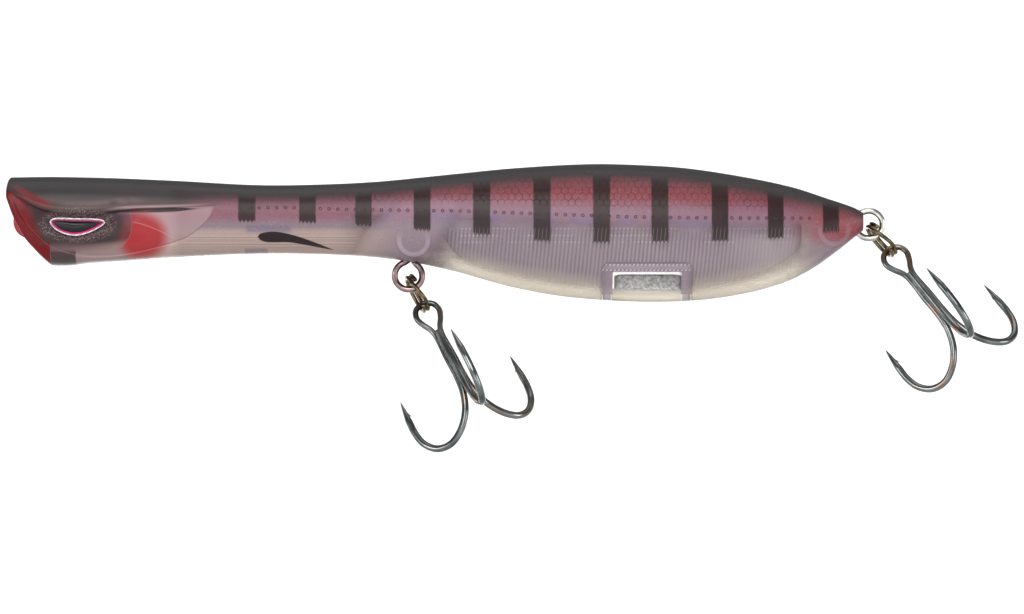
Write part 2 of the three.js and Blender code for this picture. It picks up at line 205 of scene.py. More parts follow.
def through(points, at):
    """A smooth curve through points whose first number rises, at every value of an array.

    Between two points it is the cubic that leaves and arrives with the slope of the chord between
    the neighbours on either side.
    """
    px, py = np.array(points, float).T
    slope = np.empty_like(py)
    slope[1:-1] = (py[2:] - py[:-2]) / (px[2:] - px[:-2])
    slope[0] = (py[1] - py[0]) / (px[1] - px[0])
    slope[-1] = (py[-1] - py[-2]) / (px[-1] - px[-2])
    at = np.asarray(at, float)
    i = np.clip(np.searchsorted(px, at) - 1, 0, len(px) - 2)
    width = px[i + 1] - px[i]
    t = np.clip((at - px[i]) / width, 0, 1)
    start = t * (1 - t) ** 2 * width * slope[i]
    end = t * t * (t - 1) * width * slope[i + 1]
    return py[i] + (py[i + 1] - py[i]) * t * t * (3 - 2 * t) + start + end


def smooth(value, low, high):
    """0 below low, 1 above high, and the cubic 3t^2 - 2t^3 between."""
    t = np.clip((value - low) / (high - low), 0, 1)
    return t * t * (3 - 2 * t)


def powered(value, power):
    """value to a power, keeping its sign."""
    return np.sign(value) * np.abs(value) ** power


def roundness(x):
    """The exponent of the body's section: squarer at the head than at the tail."""
    return 2.15 + 0.55 * (1 - smooth(x, 4, 34))


def levels(x, wall=0.0, floor=None):
    """Top, middle and bottom heights of the section at x, drawn in by a wall."""
    top = through(BACK_LINE, x) - wall
    bottom = through(BELLY_LINE, x) if floor is None else floor
    return top, bottom + (top - bottom) * MIDDLE_SHARE, bottom


def flank_y(x, z):
    """Half the body's width at a height: hw (1 - |h|^p)^(1/p).

    h is the height over the section's middle, as a share of the rise to its top or bottom.
    """
    top, middle, bottom = levels(x)
    rise = np.where(z > middle, top - middle, middle - bottom)
    power = roundness(x)
    inside = np.clip(1 - np.abs((z - middle) / rise) ** power, 0, 1)
    return through(HALF_WIDTH, x) * inside ** (1 / power)


def relief(x, z):
    """How far the head's moulding stands in from the plain section, in millimetres.

    It is a sum of smooth steps across the brow, cheek, gill and gill-cover lines, and of the eye
    socket, whose floor is flat.
    """
    above_brow = z - through(BROW_LINE, x)
    above_cheek = z - through(CHEEK_LINE, x)
    fade = 1 - smooth(x, 24.5, 28.5)
    front = smooth(x, -2.6, -0.5)
    under = smooth(-above_brow, -0.05, 0.22) * smooth(above_cheek, -0.12, 0.25) * fade
    deep = 0.2 + 0.32 * smooth(x, 0, 3) * (1 - smooth(x, 12.5, 17))
    slit = np.exp(-((above_brow + 0.16) / 0.16) ** 2) * smooth(x, 8, 12) * (1 - smooth(x, 23, 26))
    behind_gill = x - through(GILL_LINE, z)
    gill = (
        0.16 * np.exp(-(behind_gill / 0.13) ** 2)
        * smooth(above_cheek, 0, 0.5) * smooth(-above_brow, 0.9, 1.4)
    )
    cover = (
        0.12 * np.exp(-((z - through(OPERCLE_LINE, x)) / 0.2) ** 2)
        * smooth(behind_gill, 0, 0.3) * smooth(above_cheek, 0.1, 0.6)
    )
    crease = 0.14 * np.exp(-(above_cheek / 0.14) ** 2) * fade * smooth(x, -1.5, 0.5)
    brow_swell = -0.3 * np.exp(-((above_brow - 0.5) / 0.55) ** 2) * front * (1 - smooth(x, 11, 15))
    return deep * under * front + 0.3 * slit + gill - cover + crease + brow_swell


def socket_depth(x, z):
    """1 inside the eye socket and 0 outside, with a steep wall just outside the eye's outline."""
    over = through(EYE_BROW, x) + 0.22 - z
    under = z - (through(EYE_FOOT, x) - 0.42)
    ends = np.minimum(x - 2.75, 10.95 - x)
    return smooth(np.minimum(np.minimum(over, under), ends), -0.1, 0.12)


# ---------- meshes ----------

def mesh_piece(
    name, points, faces, body, material, replaced=(), face_materials=None, attributes=None
):
    """A piece from points in millimetres and faces of any length; duplicate points are welded."""
    mesh = bpy.data.meshes.new(name)
    mesh.from_pydata((np.asarray(points) * MM).tolist(), [], faces)
    materials = material if isinstance(material, (list, tuple)) else [material]
    for each in materials:
        mesh.materials.append(each)
    if face_materials is not None:
        mesh.polygons.foreach_set("material_index", np.asarray(face_materials, np.int32))
    for key, values in (attributes or {}).items():
        layer = mesh.attributes.new(key, "FLOAT", "POINT")
        layer.data.foreach_set("value", np.asarray(values, np.float32).ravel())
    weld(mesh)
    mesh.polygons.foreach_set("use_smooth", np.ones(len(mesh.polygons), bool))
    mesh.update()
    piece = bpy.data.objects.new(name, mesh)
    bpy.context.scene.collection.objects.link(piece)
    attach(piece, body)
    if replaced:
        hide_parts(*replaced)
    return piece


def weld(mesh):
    """Merges points that lie together, drops faces with no area, and faces the mesh outwards."""
    work = bmesh.new()
    work.from_mesh(mesh)
    bmesh.ops.remove_doubles(work, verts=work.verts, dist=2e-7)
    bmesh.ops.dissolve_degenerate(work, edges=work.edges, dist=1e-8)
    if work.calc_volume(signed=True) < 0:
        bmesh.ops.reverse_faces(work, faces=work.faces)
    work.to_mesh(mesh)
    work.free()


def grid_faces(rows, columns, wrap_rows=False, wrap_columns=False):
    """The four-sided faces of a grid of points numbered row by row, closed where asked."""
    i = np.arange(rows if wrap_rows else rows - 1)[:, None]
    j = np.arange(columns if wrap_columns else columns - 1)[None, :]
    i1, j1 = (i + 1) % rows, (j + 1) % columns
    faces = np.stack([i * columns + j, i * columns + j1, i1 * columns + j1, i1 * columns + j], -1)
    return faces.reshape(-1, 4)


def swept(path, radius, reference, sides=16):
    """Points and faces of a round wire along a path.

    Round each path point p with tangent t, the section is p + r (n cos a + b sin a), where n is
    the reference direction less its part along t, and b is t x n. Both ends close on the path.
    """
    path = np.asarray(path, float)
    tangent = np.gradient(path, axis=0)
    tangent /= np.linalg.norm(tangent, axis=1, keepdims=True)
    reference = np.broadcast_to(np.asarray(reference, float), path.shape)
    n = reference - tangent * np.sum(reference * tangent, 1, keepdims=True)
    n /= np.linalg.norm(n, axis=1, keepdims=True)
    b = np.cross(tangent, n)
    angle = np.linspace(0, 2 * np.pi, sides, endpoint=False)
    radius = np.broadcast_to(radius, (len(path),))
    ring = n[:, None] * np.cos(angle)[None, :, None] + b[:, None] * np.sin(angle)[None, :, None]
    points = path[:, None] + ring * radius[:, None, None]
    count = len(path)
    faces = grid_faces(count, sides, wrap_columns=True).tolist()
    last = (count - 1) * sides
    faces += [[j, (j + 1) % sides, count * sides][::-1] for j in range(sides)]
    faces += [[last + j, last + (j + 1) % sides, count * sides + 1] for j in range(sides)]
    return np.concatenate([points.reshape(-1, 3), path[:1], path[-1:]]), faces


def closed_loop(path, radius, reference, sides=16):
    """Points and faces of a round wire along a closed path, with the section of swept()."""
    path = np.asarray(path, float)
    tangent = np.roll(path, -1, 0) - np.roll(path, 1, 0)
    tangent /= np.linalg.norm(tangent, axis=1, keepdims=True)
    reference = np.asarray(reference, float)
    n = reference - tangent * (tangent @ reference)[:, None]
    n /= np.linalg.norm(n, axis=1, keepdims=True)
    b = np.cross(tangent, n)
    angle = np.linspace(0, 2 * np.pi, sides, endpoint=False)
    radius = np.broadcast_to(radius, (len(path),))
    ring = n[:, None] * np.cos(angle)[None, :, None] + b[:, None] * np.sin(angle)[None, :, None]
    points = (path[:, None] + ring * radius[:, None, None]).reshape(-1, 3)
    return points, grid_faces(len(path), sides, True, True).tolist()


def joined(parts):
    """Several (points, faces) pairs as one."""
    points, faces, offset = [], [], 0
    for part_points, part_faces in parts:
        points.append(np.asarray(part_points))
        faces += [[index + offset for index in face] for face in part_faces]
        offset += len(part_points)
    return np.concatenate(points), faces


def even(points, count, closed=False):
    """count points evenly spaced along a centripetal Catmull-Rom curve through a few points."""
    knots = np.asarray(points, float)
    if closed:
        ends = (knots[-1:], knots[:2])
    else:
        ends = (2 * knots[:1] - knots[1:2], 2 * knots[-1:] - knots[-2:-1])
    q = np.concatenate([ends[0], knots, ends[1]])
    t = np.concatenate([[0], np.cumsum(np.linalg.norm(np.diff(q, axis=0), axis=1) ** 0.5)])
    dense = np.linspace(t[1], t[-2], 40 * len(knots))
    i = np.clip(np.searchsorted(t, dense, "right") - 1, 1, len(q) - 3)

    def lerp(a, b, ta, tb):
        return a * ((tb - dense) / (tb - ta))[:, None] + b * ((dense - ta) / (tb - ta))[:, None]

    p = [q[i + k] for k in (-1, 0, 1, 2)]
    s = [t[i + k] for k in (-1, 0, 1, 2)]
    a1, a2, a3 = (lerp(p[k], p[k + 1], s[k], s[k + 1]) for k in range(3))
    b1, b2 = lerp(a1, a2, s[0], s[2]), lerp(a2, a3, s[1], s[3])
    curve = lerp(b1, b2, s[1], s[2])
    along = np.concatenate([[0], np.cumsum(np.linalg.norm(np.diff(curve, axis=0), axis=1))])
    wanted = np.linspace(0, along[-1], count, endpoint=not closed)
    return np.stack([np.interp(wanted, along, curve[:, k]) for k in range(3)], 1)


# ---------- materials ----------

def tone(red, green, blue):
    """A colour from 0 to 255 as the eye sees it, in the linear values that shaders take."""
    value = np.array([red, green, blue]) / 255
    linear = np.where(value <= 0.04045, value / 12.92, ((value + 0.055) / 1.055) ** 2.4)
    return tuple(linear.tolist())


class Value:
    """A number that a material's nodes work out; each + - * / or ** on it adds one node."""

    def __init__(self, finish, socket):
        self.finish, self.socket = finish, socket

    def __add__(self, other):
        return self.finish.math("ADD", self, other)

    def __sub__(self, other):
        return self.finish.math("SUBTRACT", self, other)

    def __mul__(self, other):
        return self.finish.math("MULTIPLY", self, other)

    def __truediv__(self, other):
        return self.finish.math("DIVIDE", self, other)

    def __pow__(self, other):
        return self.finish.math("POWER", self, other)


class Finish:
    """A material, with short hands for the nodes in it. Lengths in it are millimetres."""

    def __init__(self, name):
        self.material = bpy.data.materials.new(name)
        self.material.use_nodes = True
        self.nodes = self.material.node_tree.nodes
        self.links = self.material.node_tree.links
        self.shader = self.nodes["Principled BSDF"]
        place = self.nodes.new("ShaderNodeTexCoord")
        inputs = {0: place.outputs["Object"], "Scale": 1 / MM}
        self.place = self.node("ShaderNodeVectorMath", inputs, operation="SCALE").outputs[0]
        split = self.node("ShaderNodeSeparateXYZ", {0: self.place}).outputs
        self.x, self.z = Value(self, split["X"]), Value(self, split["Z"])

    def node(self, kind, inputs=None, **settings):
        made = self.nodes.new(kind)
        for key, value in settings.items():
            setattr(made, key, value)
        for key, value in (inputs or {}).items():
            self.put(made.inputs[key], value)
        return made

    def put(self, socket, value):
        if isinstance(value, Value):
            value = value.socket
        if isinstance(value, bpy.types.NodeSocket):
            self.links.new(value, socket)
        elif socket.type == "RGBA":
            socket.default_value = (*value[:3], 1)
        else:
            socket.default_value = value

    def set(self, **values):
        """Puts values on the shader; an underscore in a name stands for a space."""
        for key, value in values.items():
            self.put(self.shader.inputs[key.replace("_", " ")], value)
        return self.material

    def math(self, operation, *values):
        made = self.node("ShaderNodeMath", dict(enumerate(values)), operation=operation)
        return Value(self, made.outputs[0])

    def larger(self, a, b):
        return self.math("MAXIMUM", a, b)

    def smaller(self, a, b):
        return self.math("MINIMUM", a, b)

    def size(self, a):
        return self.math("ABSOLUTE", a)

    def fraction(self, a):
        return self.math("FRACT", a)

    def root(self, a):
        return self.math("SQRT", a)

    def step(self, value, low, high):
        """0 at low, 1 at high, smooth between, whichever is the larger."""
        inputs = {"Value": value, "From Min": low, "From Max": high}
        made = self.node("ShaderNodeMapRange", inputs, interpolation_type="SMOOTHSTEP")
        return Value(self, made.outputs[0])

    def band(self, value, low, high, soft):
        """1 between low and high, fading to 0 over a soft edge centred on each."""
        rise = self.step(value, low - soft, low + soft)
        return rise * self.step(value, high + soft, high - soft)

    def both(self, *masks):
        result = masks[0]
        for mask in masks[1:]:
            result = result * mask
        return result

    def blend(self, factor, a, b):
        made = self.node("ShaderNodeMix", {0: factor, 6: a, 7: b}, data_type="RGBA")
        return made.outputs[2]

    def laid(self, colour, mask, strength, coat):
        """A coat over a colour where a mask is, at a strength up to 1."""
        return self.blend(mask * strength, colour, coat)

    def attribute(self, name):
        made = self.node("ShaderNodeAttribute", attribute_name=name)
        return Value(self, made.outputs["Fac"])

    def noise(self, scale, detail=2.0, rough=0.5, place=None):
        place = place or self.place
        inputs = {"Vector": place, "Scale": scale, "Detail": detail, "Roughness": rough}
        return Value(self, self.node("ShaderNodeTexNoise", inputs).outputs["Fac"])

    def stretched(self, x, y, z):
        inputs = {"Vector": self.place, "Scale": (x, y, z)}
        return self.node("ShaderNodeMapping", inputs).outputs[0]

    def bump(self, height, strength, depth):
        inputs = {"Height": height, "Strength": strength, "Distance": depth * MM}
        self.put(self.shader.inputs["Normal"], self.node("ShaderNodeBump", inputs).outputs[0])


def hexagons(f, pitch):
    """0 at the middle of each cell of a hexagonal mesh to 0.5 on its edges, across X and Z.

    Two square-set lattices, one offset by half a cell, hold all the cells' middles. The distance
    is the hexagonal one, max(|x|, |x|/2 + |z| sqrt(3)/2), to the nearer of the two.
    """
    x = f.x / pitch
    z = f.z / pitch

    def reach(shift):
        cell_x = f.size(f.fraction(x + 50 + shift) - 0.5)
        tall = f.fraction(z / (3 ** 0.5) + 50 + shift)
        cell_z = f.size(tall - 0.5) * 3 ** 0.5
        slant = cell_z * 3 ** 0.5 / 2 + cell_x * 0.5
        return f.larger(cell_x, slant)

    return f.smaller(reach(0.0), reach(0.5))


# ---------- settings that a user would change ----------

def colour_setting(name, words, red, green, blue):
    return FloatVectorProperty(
        name=name, description=words, subtype="COLOR", size=3, min=0, max=1,
        default=tone(red, green, blue),
    )


def length_setting(name, words, millimetres):
    return FloatProperty(
        name=name, description=words, subtype="DISTANCE", unit="LENGTH", default=millimetres * MM,
    )


class PopperPaint(bpy.types.PropertyGroup):
    back: colour_setting("Back", "Charcoal sprayed on the back", 62, 59, 60)
    bars: colour_setting("Bars", "Dark brown of the bars", 40, 30, 29)
    upper: colour_setting("Upper flank", "Brick pink of the flank under the back", 148, 76, 84)
    middle: colour_setting("Middle flank", "Mauve along the lateral line", 150, 114, 130)
    lower: colour_setting("Lower flank", "Grey lilac over the chambers", 146, 129, 138)
    keel: colour_setting("Keel", "Cream of the solid plastic along the keel", 240, 230, 212)
    throat: colour_setting("Throat", "Beige of the neck's underside", 188, 164, 156)
    red: colour_setting("Red", "Red of the lips", 106, 15, 20)
    gill: colour_setting("Gill", "Red of the gill spot", 166, 42, 47)
    cheek: colour_setting("Cheek", "Smoky brown round the eye", 50, 38, 40)
    fin: colour_setting("Fin", "Dark brown of the printed fin", 42, 33, 33)


class PopperBody(bpy.types.PropertyGroup):
    wall: length_setting("Wall", "Thickness of the moulded wall", 1.3)
    seam: length_setting("Seam", "Distance of each half from the centre plane", 0.004)
    rib_pitch: length_setting("Rib pitch", "Distance between the ribs inside the chambers", 0.55)
    rib_depth: length_setting("Rib depth", "Depth of the ribs inside the chambers", 0.08)
    scale_pitch: length_setting("Scale pitch", "Width of one scale", 0.98)
    pore_pitch: length_setting("Pore pitch", "Distance between the lateral line's pores", 1.22)
    bar_width: length_setting("Bar width", "Width of the dark bars", 2.4)


class PopperWire(bpy.types.PropertyGroup):
    hanger: length_setting("Hanger wire", "Diameter of the hangers' wire", 0.9)
    ring: length_setting("Ring wire", "Diameter of the split rings' wire", 0.58)
    hook: length_setting("Hook wire", "Diameter of the treble hooks' wire", 0.84)
    sides: IntProperty(
        name="Sides", description="Points round a wire's section", default=20, min=8, max=48,
    )


class PopperStage(bpy.types.PropertyGroup):
    view_width: length_setting("View width", "Width of the view at the lure", 143.72)
    lens: FloatProperty(
        name="Lens", description="Focal length of the camera in millimetres", default=200.0,
    )


# ---------- finishes ----------

def body_finish(paint, body):
    """Clear plastic sprayed from the back down: charcoal, pink, mauve, then a thin grey lilac.

    Attributes on the skin hold heights over its own lines, so bars, fin and fades follow the body.
    """
    f = Finish("sprayed_clear_plastic")
    x, z = f.x, f.z
    below_back = f.attribute("below_back")
    above_keel = f.attribute("above_keel")
    above_pores = f.attribute("above_pores")
    above_brow = f.attribute("above_brow")
    above_cheek = f.attribute("above_cheek")
    behind_gill = f.attribute("behind_gill")
    cloud = f.noise(0.16, 3.0, 0.55)
    fleck = f.noise(3.2, 2.0, 0.6)
    grit = f.noise(6.0, 2.0, 0.6)
    drift = cloud * 1.6 - 0.8

    # the flank's colours, from the keel upwards
    height = above_pores + drift
    colour = f.blend(f.step(height, -2.4, 0.2), paint.lower, paint.middle)
    bluish = f.both(
        f.band(above_pores, -1.5, -0.3, 0.5), f.band(x, 46, 104, 3),
        f.step(f.noise(0.3, 1.0), 0.4, 0.6),
    )
    colour = f.laid(colour, bluish, 0.55, tone(132, 120, 152))
    colour = f.blend(f.step(height, 0.3, 3.0), colour, paint.upper)
    tail = f.both(f.step(x, 103, 113), f.step(z, -4.2, -1.6))
    colour = f.blend(tail, colour, paint.upper)
    keel = f.both(f.step(above_keel, 2.4, 1.0), f.step(x, 54, 60), f.step(x, 112, 104))
    colour = f.laid(colour, keel, 0.9, paint.keel)
    neck = f.step(x, 54, 42)
    throat = f.both(neck, f.step(z, -0.7, -1.6))
    colour = f.blend(throat, colour, paint.throat)
    warm = f.both(neck, f.band(z, 0.1, 4.4, 0.9))
    colour = f.laid(colour, warm, 0.8, tone(146, 90, 106))
    patch = f.both(f.band(x, 30.5, 36.8, 0.5), f.band(z, -1.6, -0.6, 0.3))
    colour = f.laid(colour, patch, 0.6, tone(120, 108, 136))
    square = f.both(f.band(x, 30.2, 33.4, 0.15), f.step(z, -3.7, -3.9), neck)
    colour = f.laid(colour, square, 0.55, tone(120, 104, 116))

    # wires buried in the solid plastic: a painted shine glowing through it as a pale arc along each
    # loop, with a painted shade as a dark edge round it
    for along, up, wide, strength in ((53.9, -2.6, 2.05, 0.42), (112.7, -1.12, 2.05, 0.16)):
        way = f.root((x - along) ** 2.0 + (z - up) ** 2.0)
        # painted highlight: the pale arc of each buried loop
        wire_shine = f.both(f.band(way, wide - 0.3, wide + 0.3, 0.14), f.step(z, up + 1.2, up - 0.6))
        colour = f.laid(colour, wire_shine, strength, tone(206, 190, 204))
        # painted shade: a dark edge round each painted shine
        rim = f.both(f.band(way, wide + 0.38, wide + 0.5, 0.07), f.step(z, up + 1.2, up - 0.6))
        colour = f.laid(colour, rim, strength, tone(112, 92, 108))

    # fine moulded lines along the neck, each drawn as a painted highlight with a painted shade line
    # just under it
    for low, strength in ((-2.14, 0.5), (-2.5, 0.28), (-3.1, 0.5), (-3.5, 0.25)):
        # painted highlight along each moulded line
        line = f.both(f.band(z, low, low + 0.1, 0.06), f.band(x, 21.5, 46, 0.4))
        colour = f.laid(colour, line, strength, tone(222, 204, 200))
        # painted shade just under each moulded line
        under = f.both(f.band(z, low - 0.16, low - 0.08, 0.05), f.band(x, 21.5, 46, 0.4))
        colour = f.laid(colour, under, strength, tone(120, 98, 100))

    # scales between the back and the pores, darker along each one's edge, and a fine speckle
    cells = hexagons(f, body.scale_pitch / MM)
    edge = f.both(
        f.step(cells, 0.4, 0.49), f.band(above_pores, 1.3, 6.4, 0.7), f.band(x, 42, 106, 3),
        f.step(f.noise(0.5, 2.0), 0.35, 0.65) * 0.6 + 0.4,
    )
    colour = f.laid(colour, edge, 0.85, tone(88, 38, 44))
    speckle = f.both(f.step(fleck, 0.54, 0.72), f.step(x, 16, 26))
    colour = f.laid(colour, speckle, 0.14, tone(206, 176, 184))
    dots = f.step(grit, 0.44, 0.3)
    colour = f.laid(colour, dots, 0.25, tone(84, 62, 68))

    # the charcoal of the back fades through brown into the pink
    back_edge = below_back + drift * 0.35 + f.step(x, 107, 115)
    dusk = f.step(back_edge, 4.3, 1.2)
    back = f.step(back_edge, 2.6, 1.0)
    phase = f.attribute("bar_phase")
    offset = f.size(f.fraction(phase + 0.5) - 0.5)
    half = body.bar_width / MM / 2 / BAR_PITCH
    ragged = f.noise(1.6, 3.0, 0.6) * 0.02 - 0.01
    bar = f.step(offset + ragged, half + 0.01, half - 0.016)
    above_foot = f.attribute("above_foot")
    ribs = rib_wave(f, body)
    frayed = ribs * 0.35 + above_foot
    bar = f.both(bar, f.step(frayed, -0.1, 0.35), f.band(x, 28.6, 114.4, 0.2))
    colour = f.laid(colour, dusk, 0.62, paint.back)
    colour = f.laid(colour, bar, 0.93, paint.bars)
    thin = f.both(bar, f.step(z, -0.6, -1.4), f.step(ribs, 0.62, 0.95), f.step(x, 50, 56))
    colour = f.laid(colour, thin, 0.5, tone(128, 112, 118))
    colour = f.blend(back, colour, paint.back)

    # the fin print
    fin = f.both(
        f.step(f.attribute("below_fin_top"), -0.03, 0.08),
        f.step(f.attribute("above_fin_foot"), -0.03, 0.08),
    )
    colour = f.blend(fin, colour, paint.fin)

    # head: pinkish grey behind, smoky brown round the eye
    under = f.step(above_brow, 0.05, -0.1)
    behind = f.both(f.step(x, 14, 18), f.step(x, 27.5, 25), under, f.step(above_cheek, -0.1, 0.5))
    colour = f.laid(colour, behind, 0.85, tone(176, 146, 150))
    wander = f.noise(0.35, 2.0, 0.5) * 3.0 - 1.5
    reach = z * 1.1 + x + wander
    smoke = f.both(
        f.step(reach, 18.5, 12.0), f.step(x * -0.16 + z, -6.3, -4.4), f.step(x, 19, 14)
    )
    colour = f.laid(colour, smoke, 0.97, paint.cheek)
    belt = f.both(f.step(x, 18.5, 14.5), f.step(z, -2.7, -3.9))
    colour = f.laid(colour, belt, 0.6, tone(126, 100, 104))

    # brow: a painted highlight in brown grey under the charcoal and in a lighter streak, a red
    # blush in front, a painted highlight on the ridge over a painted shade in the slit, and a
    # painted shade in the crease at its front
    # painted highlight: brown grey over the brow's ledge, under the charcoal
    over = f.both(f.step(above_brow, -0.05, 0.12), f.step(x, 30, 20))
    brow_highlight = f.blend(f.step(below_back, 2.0, 4.2), paint.back, tone(78, 64, 64))
    colour = f.laid(colour, over, 0.92, brow_highlight)
    blush = f.both(f.band(x, -1.4, 3.2, 1.4), f.band(above_brow, 0.35, 1.5, 0.5))
    colour = f.laid(colour, blush, 0.6, tone(142, 34, 40))
    # painted highlight: a lighter streak over the brow
    brow_streak_highlight = f.both(
        f.band(x, 4.5, 15, 3.0), f.band(above_brow, 0.75, 1.5, 0.45),
        f.step(f.noise(0.3, 2.0), 0.3, 0.6),
    )
    colour = f.laid(colour, brow_streak_highlight, 0.5, tone(134, 116, 114))
    # painted highlight on the brow's ridge
    lit = f.both(f.band(above_brow, 0.05, 0.42, 0.16), f.band(x, 12, 24, 2.4))
    colour = f.laid(colour, lit, 0.6, tone(190, 160, 160))
    # painted shade in the slit under the ridge
    slit_shade_width = f.step(x, 8.5, 17) * f.step(x, 24.4, 20)
    slit = f.step(f.size(above_brow + 0.25) / (slit_shade_width + 0.02), 0.42, 0.2)
    slit = f.both(slit, f.band(x, 8, 24.4, 0.3))
    colour = f.laid(colour, slit, 0.92, tone(30, 24, 25))
    # painted shade in the brow's crease at the front
    crease = f.both(f.band(above_brow, -0.2, 0.02, 0.08), f.step(x, 10, 6))
    colour = f.laid(colour, crease, 0.75, tone(34, 24, 26))

    # a rough specked hollow round the eye
    from_eye = ((x - 7.0) / 4.7) ** 2.0 + ((z + 0.55) / 2.1) ** 2.0
    hollow = f.both(f.step(from_eye, 1.6, 1.0), f.step(f.noise(5.5, 3.0, 0.7), 0.5, 0.58))
    colour = f.laid(colour, hollow, 0.5, tone(170, 140, 140))
    rough_spots = f.noise(4.5, 3.0, 0.7, f.stretched(1.0, 1.0, 1.3))
    pits = f.both(f.step(from_eye, 1.6, 1.0), f.step(rough_spots, 0.46, 0.4))
    colour = f.laid(colour, pits, 0.7, tone(30, 22, 24))

    # red lips, whose edge leans back below the eye and turns hard and upright at the jaw
    slope = z * -0.42 + 1.3
    lip = f.both(f.step(x - slope, 0.6, -1.3), under)
    jaw_lip = f.both(f.step(x, 3.26, 3.12), f.step(z, -2.4, -3.6))
    red = f.larger(lip, jaw_lip)
    deep = f.blend(f.noise(0.6, 3.0, 0.6), tone(84, 12, 18), tone(134, 24, 29))
    colour = f.blend(red, colour, f.blend(0.5, deep, paint.red))
    jaw = f.both(f.band(x, 3.26, 6.7, 0.08), f.step(z, -3.9, -4.5))
    colour = f.blend(jaw, colour, tone(74, 60, 61))
    lines = f.fraction(z * 2.6)
    striped = f.step(f.size(lines - 0.5), 0.3, 0.1) * 0.5 + 0.45
    gum = f.both(f.band(x, 6.8, 13.8, 0.15), f.step(z, -4.4, -4.8))
    colour = f.laid(colour, gum, striped, tone(146, 126, 128))

    # the gill spot: hard along the gill line in front, fading behind
    spot_x = ((x - 16.0) / 3.9) ** 2.0
    spot_z = ((z + 2.2) / 3.6) ** 2.0
    spot = f.step(spot_x + spot_z, 1.25, 0.3)
    hard = f.step(behind_gill, -0.1, 0.1) * 0.62 + 0.38
    spot = f.both(spot, hard, f.step(behind_gill, -2.6, -0.2), under)
    colour = f.laid(colour, spot, 0.95, paint.gill)

    # painted highlights along the moulded edges of the cheek outline, gill line and gill cover, and
    # a painted shade band just above the cheek outline
    # painted highlight along the cheek's moulded edge
    outline = f.both(
        f.band(above_cheek, -0.06, 0.06, 0.07), f.step(x, -0.6, 0.4), f.step(x, 27, 24)
    )
    colour = f.laid(colour, outline, 0.32, tone(190, 140, 142))
    # painted shade just above the cheek outline
    shade = f.both(f.band(above_cheek, 0.12, 0.24, 0.06), f.step(x, 15, 18), f.step(x, 27, 24))
    colour = f.laid(colour, shade, 0.55, tone(78, 56, 62))
    # painted highlight along the gill line
    gill = f.both(
        f.band(behind_gill, -0.08, 0.04, 0.07), f.band(z, -4.2, 1.2, 0.3),
        f.step(above_cheek, 0, 0.3),
    )
    colour = f.laid(colour, gill, 0.3, tone(196, 120, 122))
    cover_line = f.attribute("above_opercle")
    # painted highlight along the gill cover's edge
    cover = f.both(
        f.band(cover_line, -0.06, 0.06, 0.07), f.step(behind_gill, 0, 0.3),
        f.step(above_cheek, 0, 0.3), f.step(x, 24, 22),
    )
    colour = f.laid(colour, cover, 0.32, tone(216, 170, 170))

    # how much of the paint stops the light
    stop = f.step(height, -2.2, 0.6) * 0.52 + 0.4
    stop = f.smaller(stop, f.step(above_keel, 1.4, 2.4) * 0.5 + 0.34)
    opaque = f.larger(f.step(x, 27, 19), f.larger(bar, f.larger(back, fin)))
    stop = f.larger(stop, f.larger(opaque, neck * 0.8))
    stop = f.larger(stop, f.step(x, 104, 112) * 0.93)
    solid_block = f.both(f.band(z * -0.8 + x, 48, 60, 3.0), f.step(z, -6.6, -4.8))
    stop = f.larger(stop, solid_block * 0.93)
    window = f.both(f.band(x, 81.75, 91.35, 0.06), f.step(z, -7.05, -7.15))
    stop = stop * (window * -0.82 + 1.0)
    lid = POCKET["lid_top"]
    arch = f.both(f.band(x, POCKET["x0"], POCKET["x1"], 0.3), f.step(z, lid, lid - 0.3))
    stop = stop * (arch * -0.5 + 1.0)

    grain = f.noise(1.1, 4.0, 0.6) * 0.7 + fleck * 0.3
    f.bump(edge * -1.6 + grain, 0.35, 0.06)
    rough = back * 0.08 + cloud * 0.12 + 0.24
    f.set(Base_Color=colour, Roughness=rough, Alpha=stop, Specular_IOR_Level=0.22)
    return f.material


def rib_wave(f, body):
    """0 in the middle of each rib to 1 between ribs; they lean a little towards the tail."""
    lean = f.z * -0.1 + f.x
    rib = f.fraction(lean / (body.rib_pitch / MM))
    return f.size(rib - 0.5) * 2.0


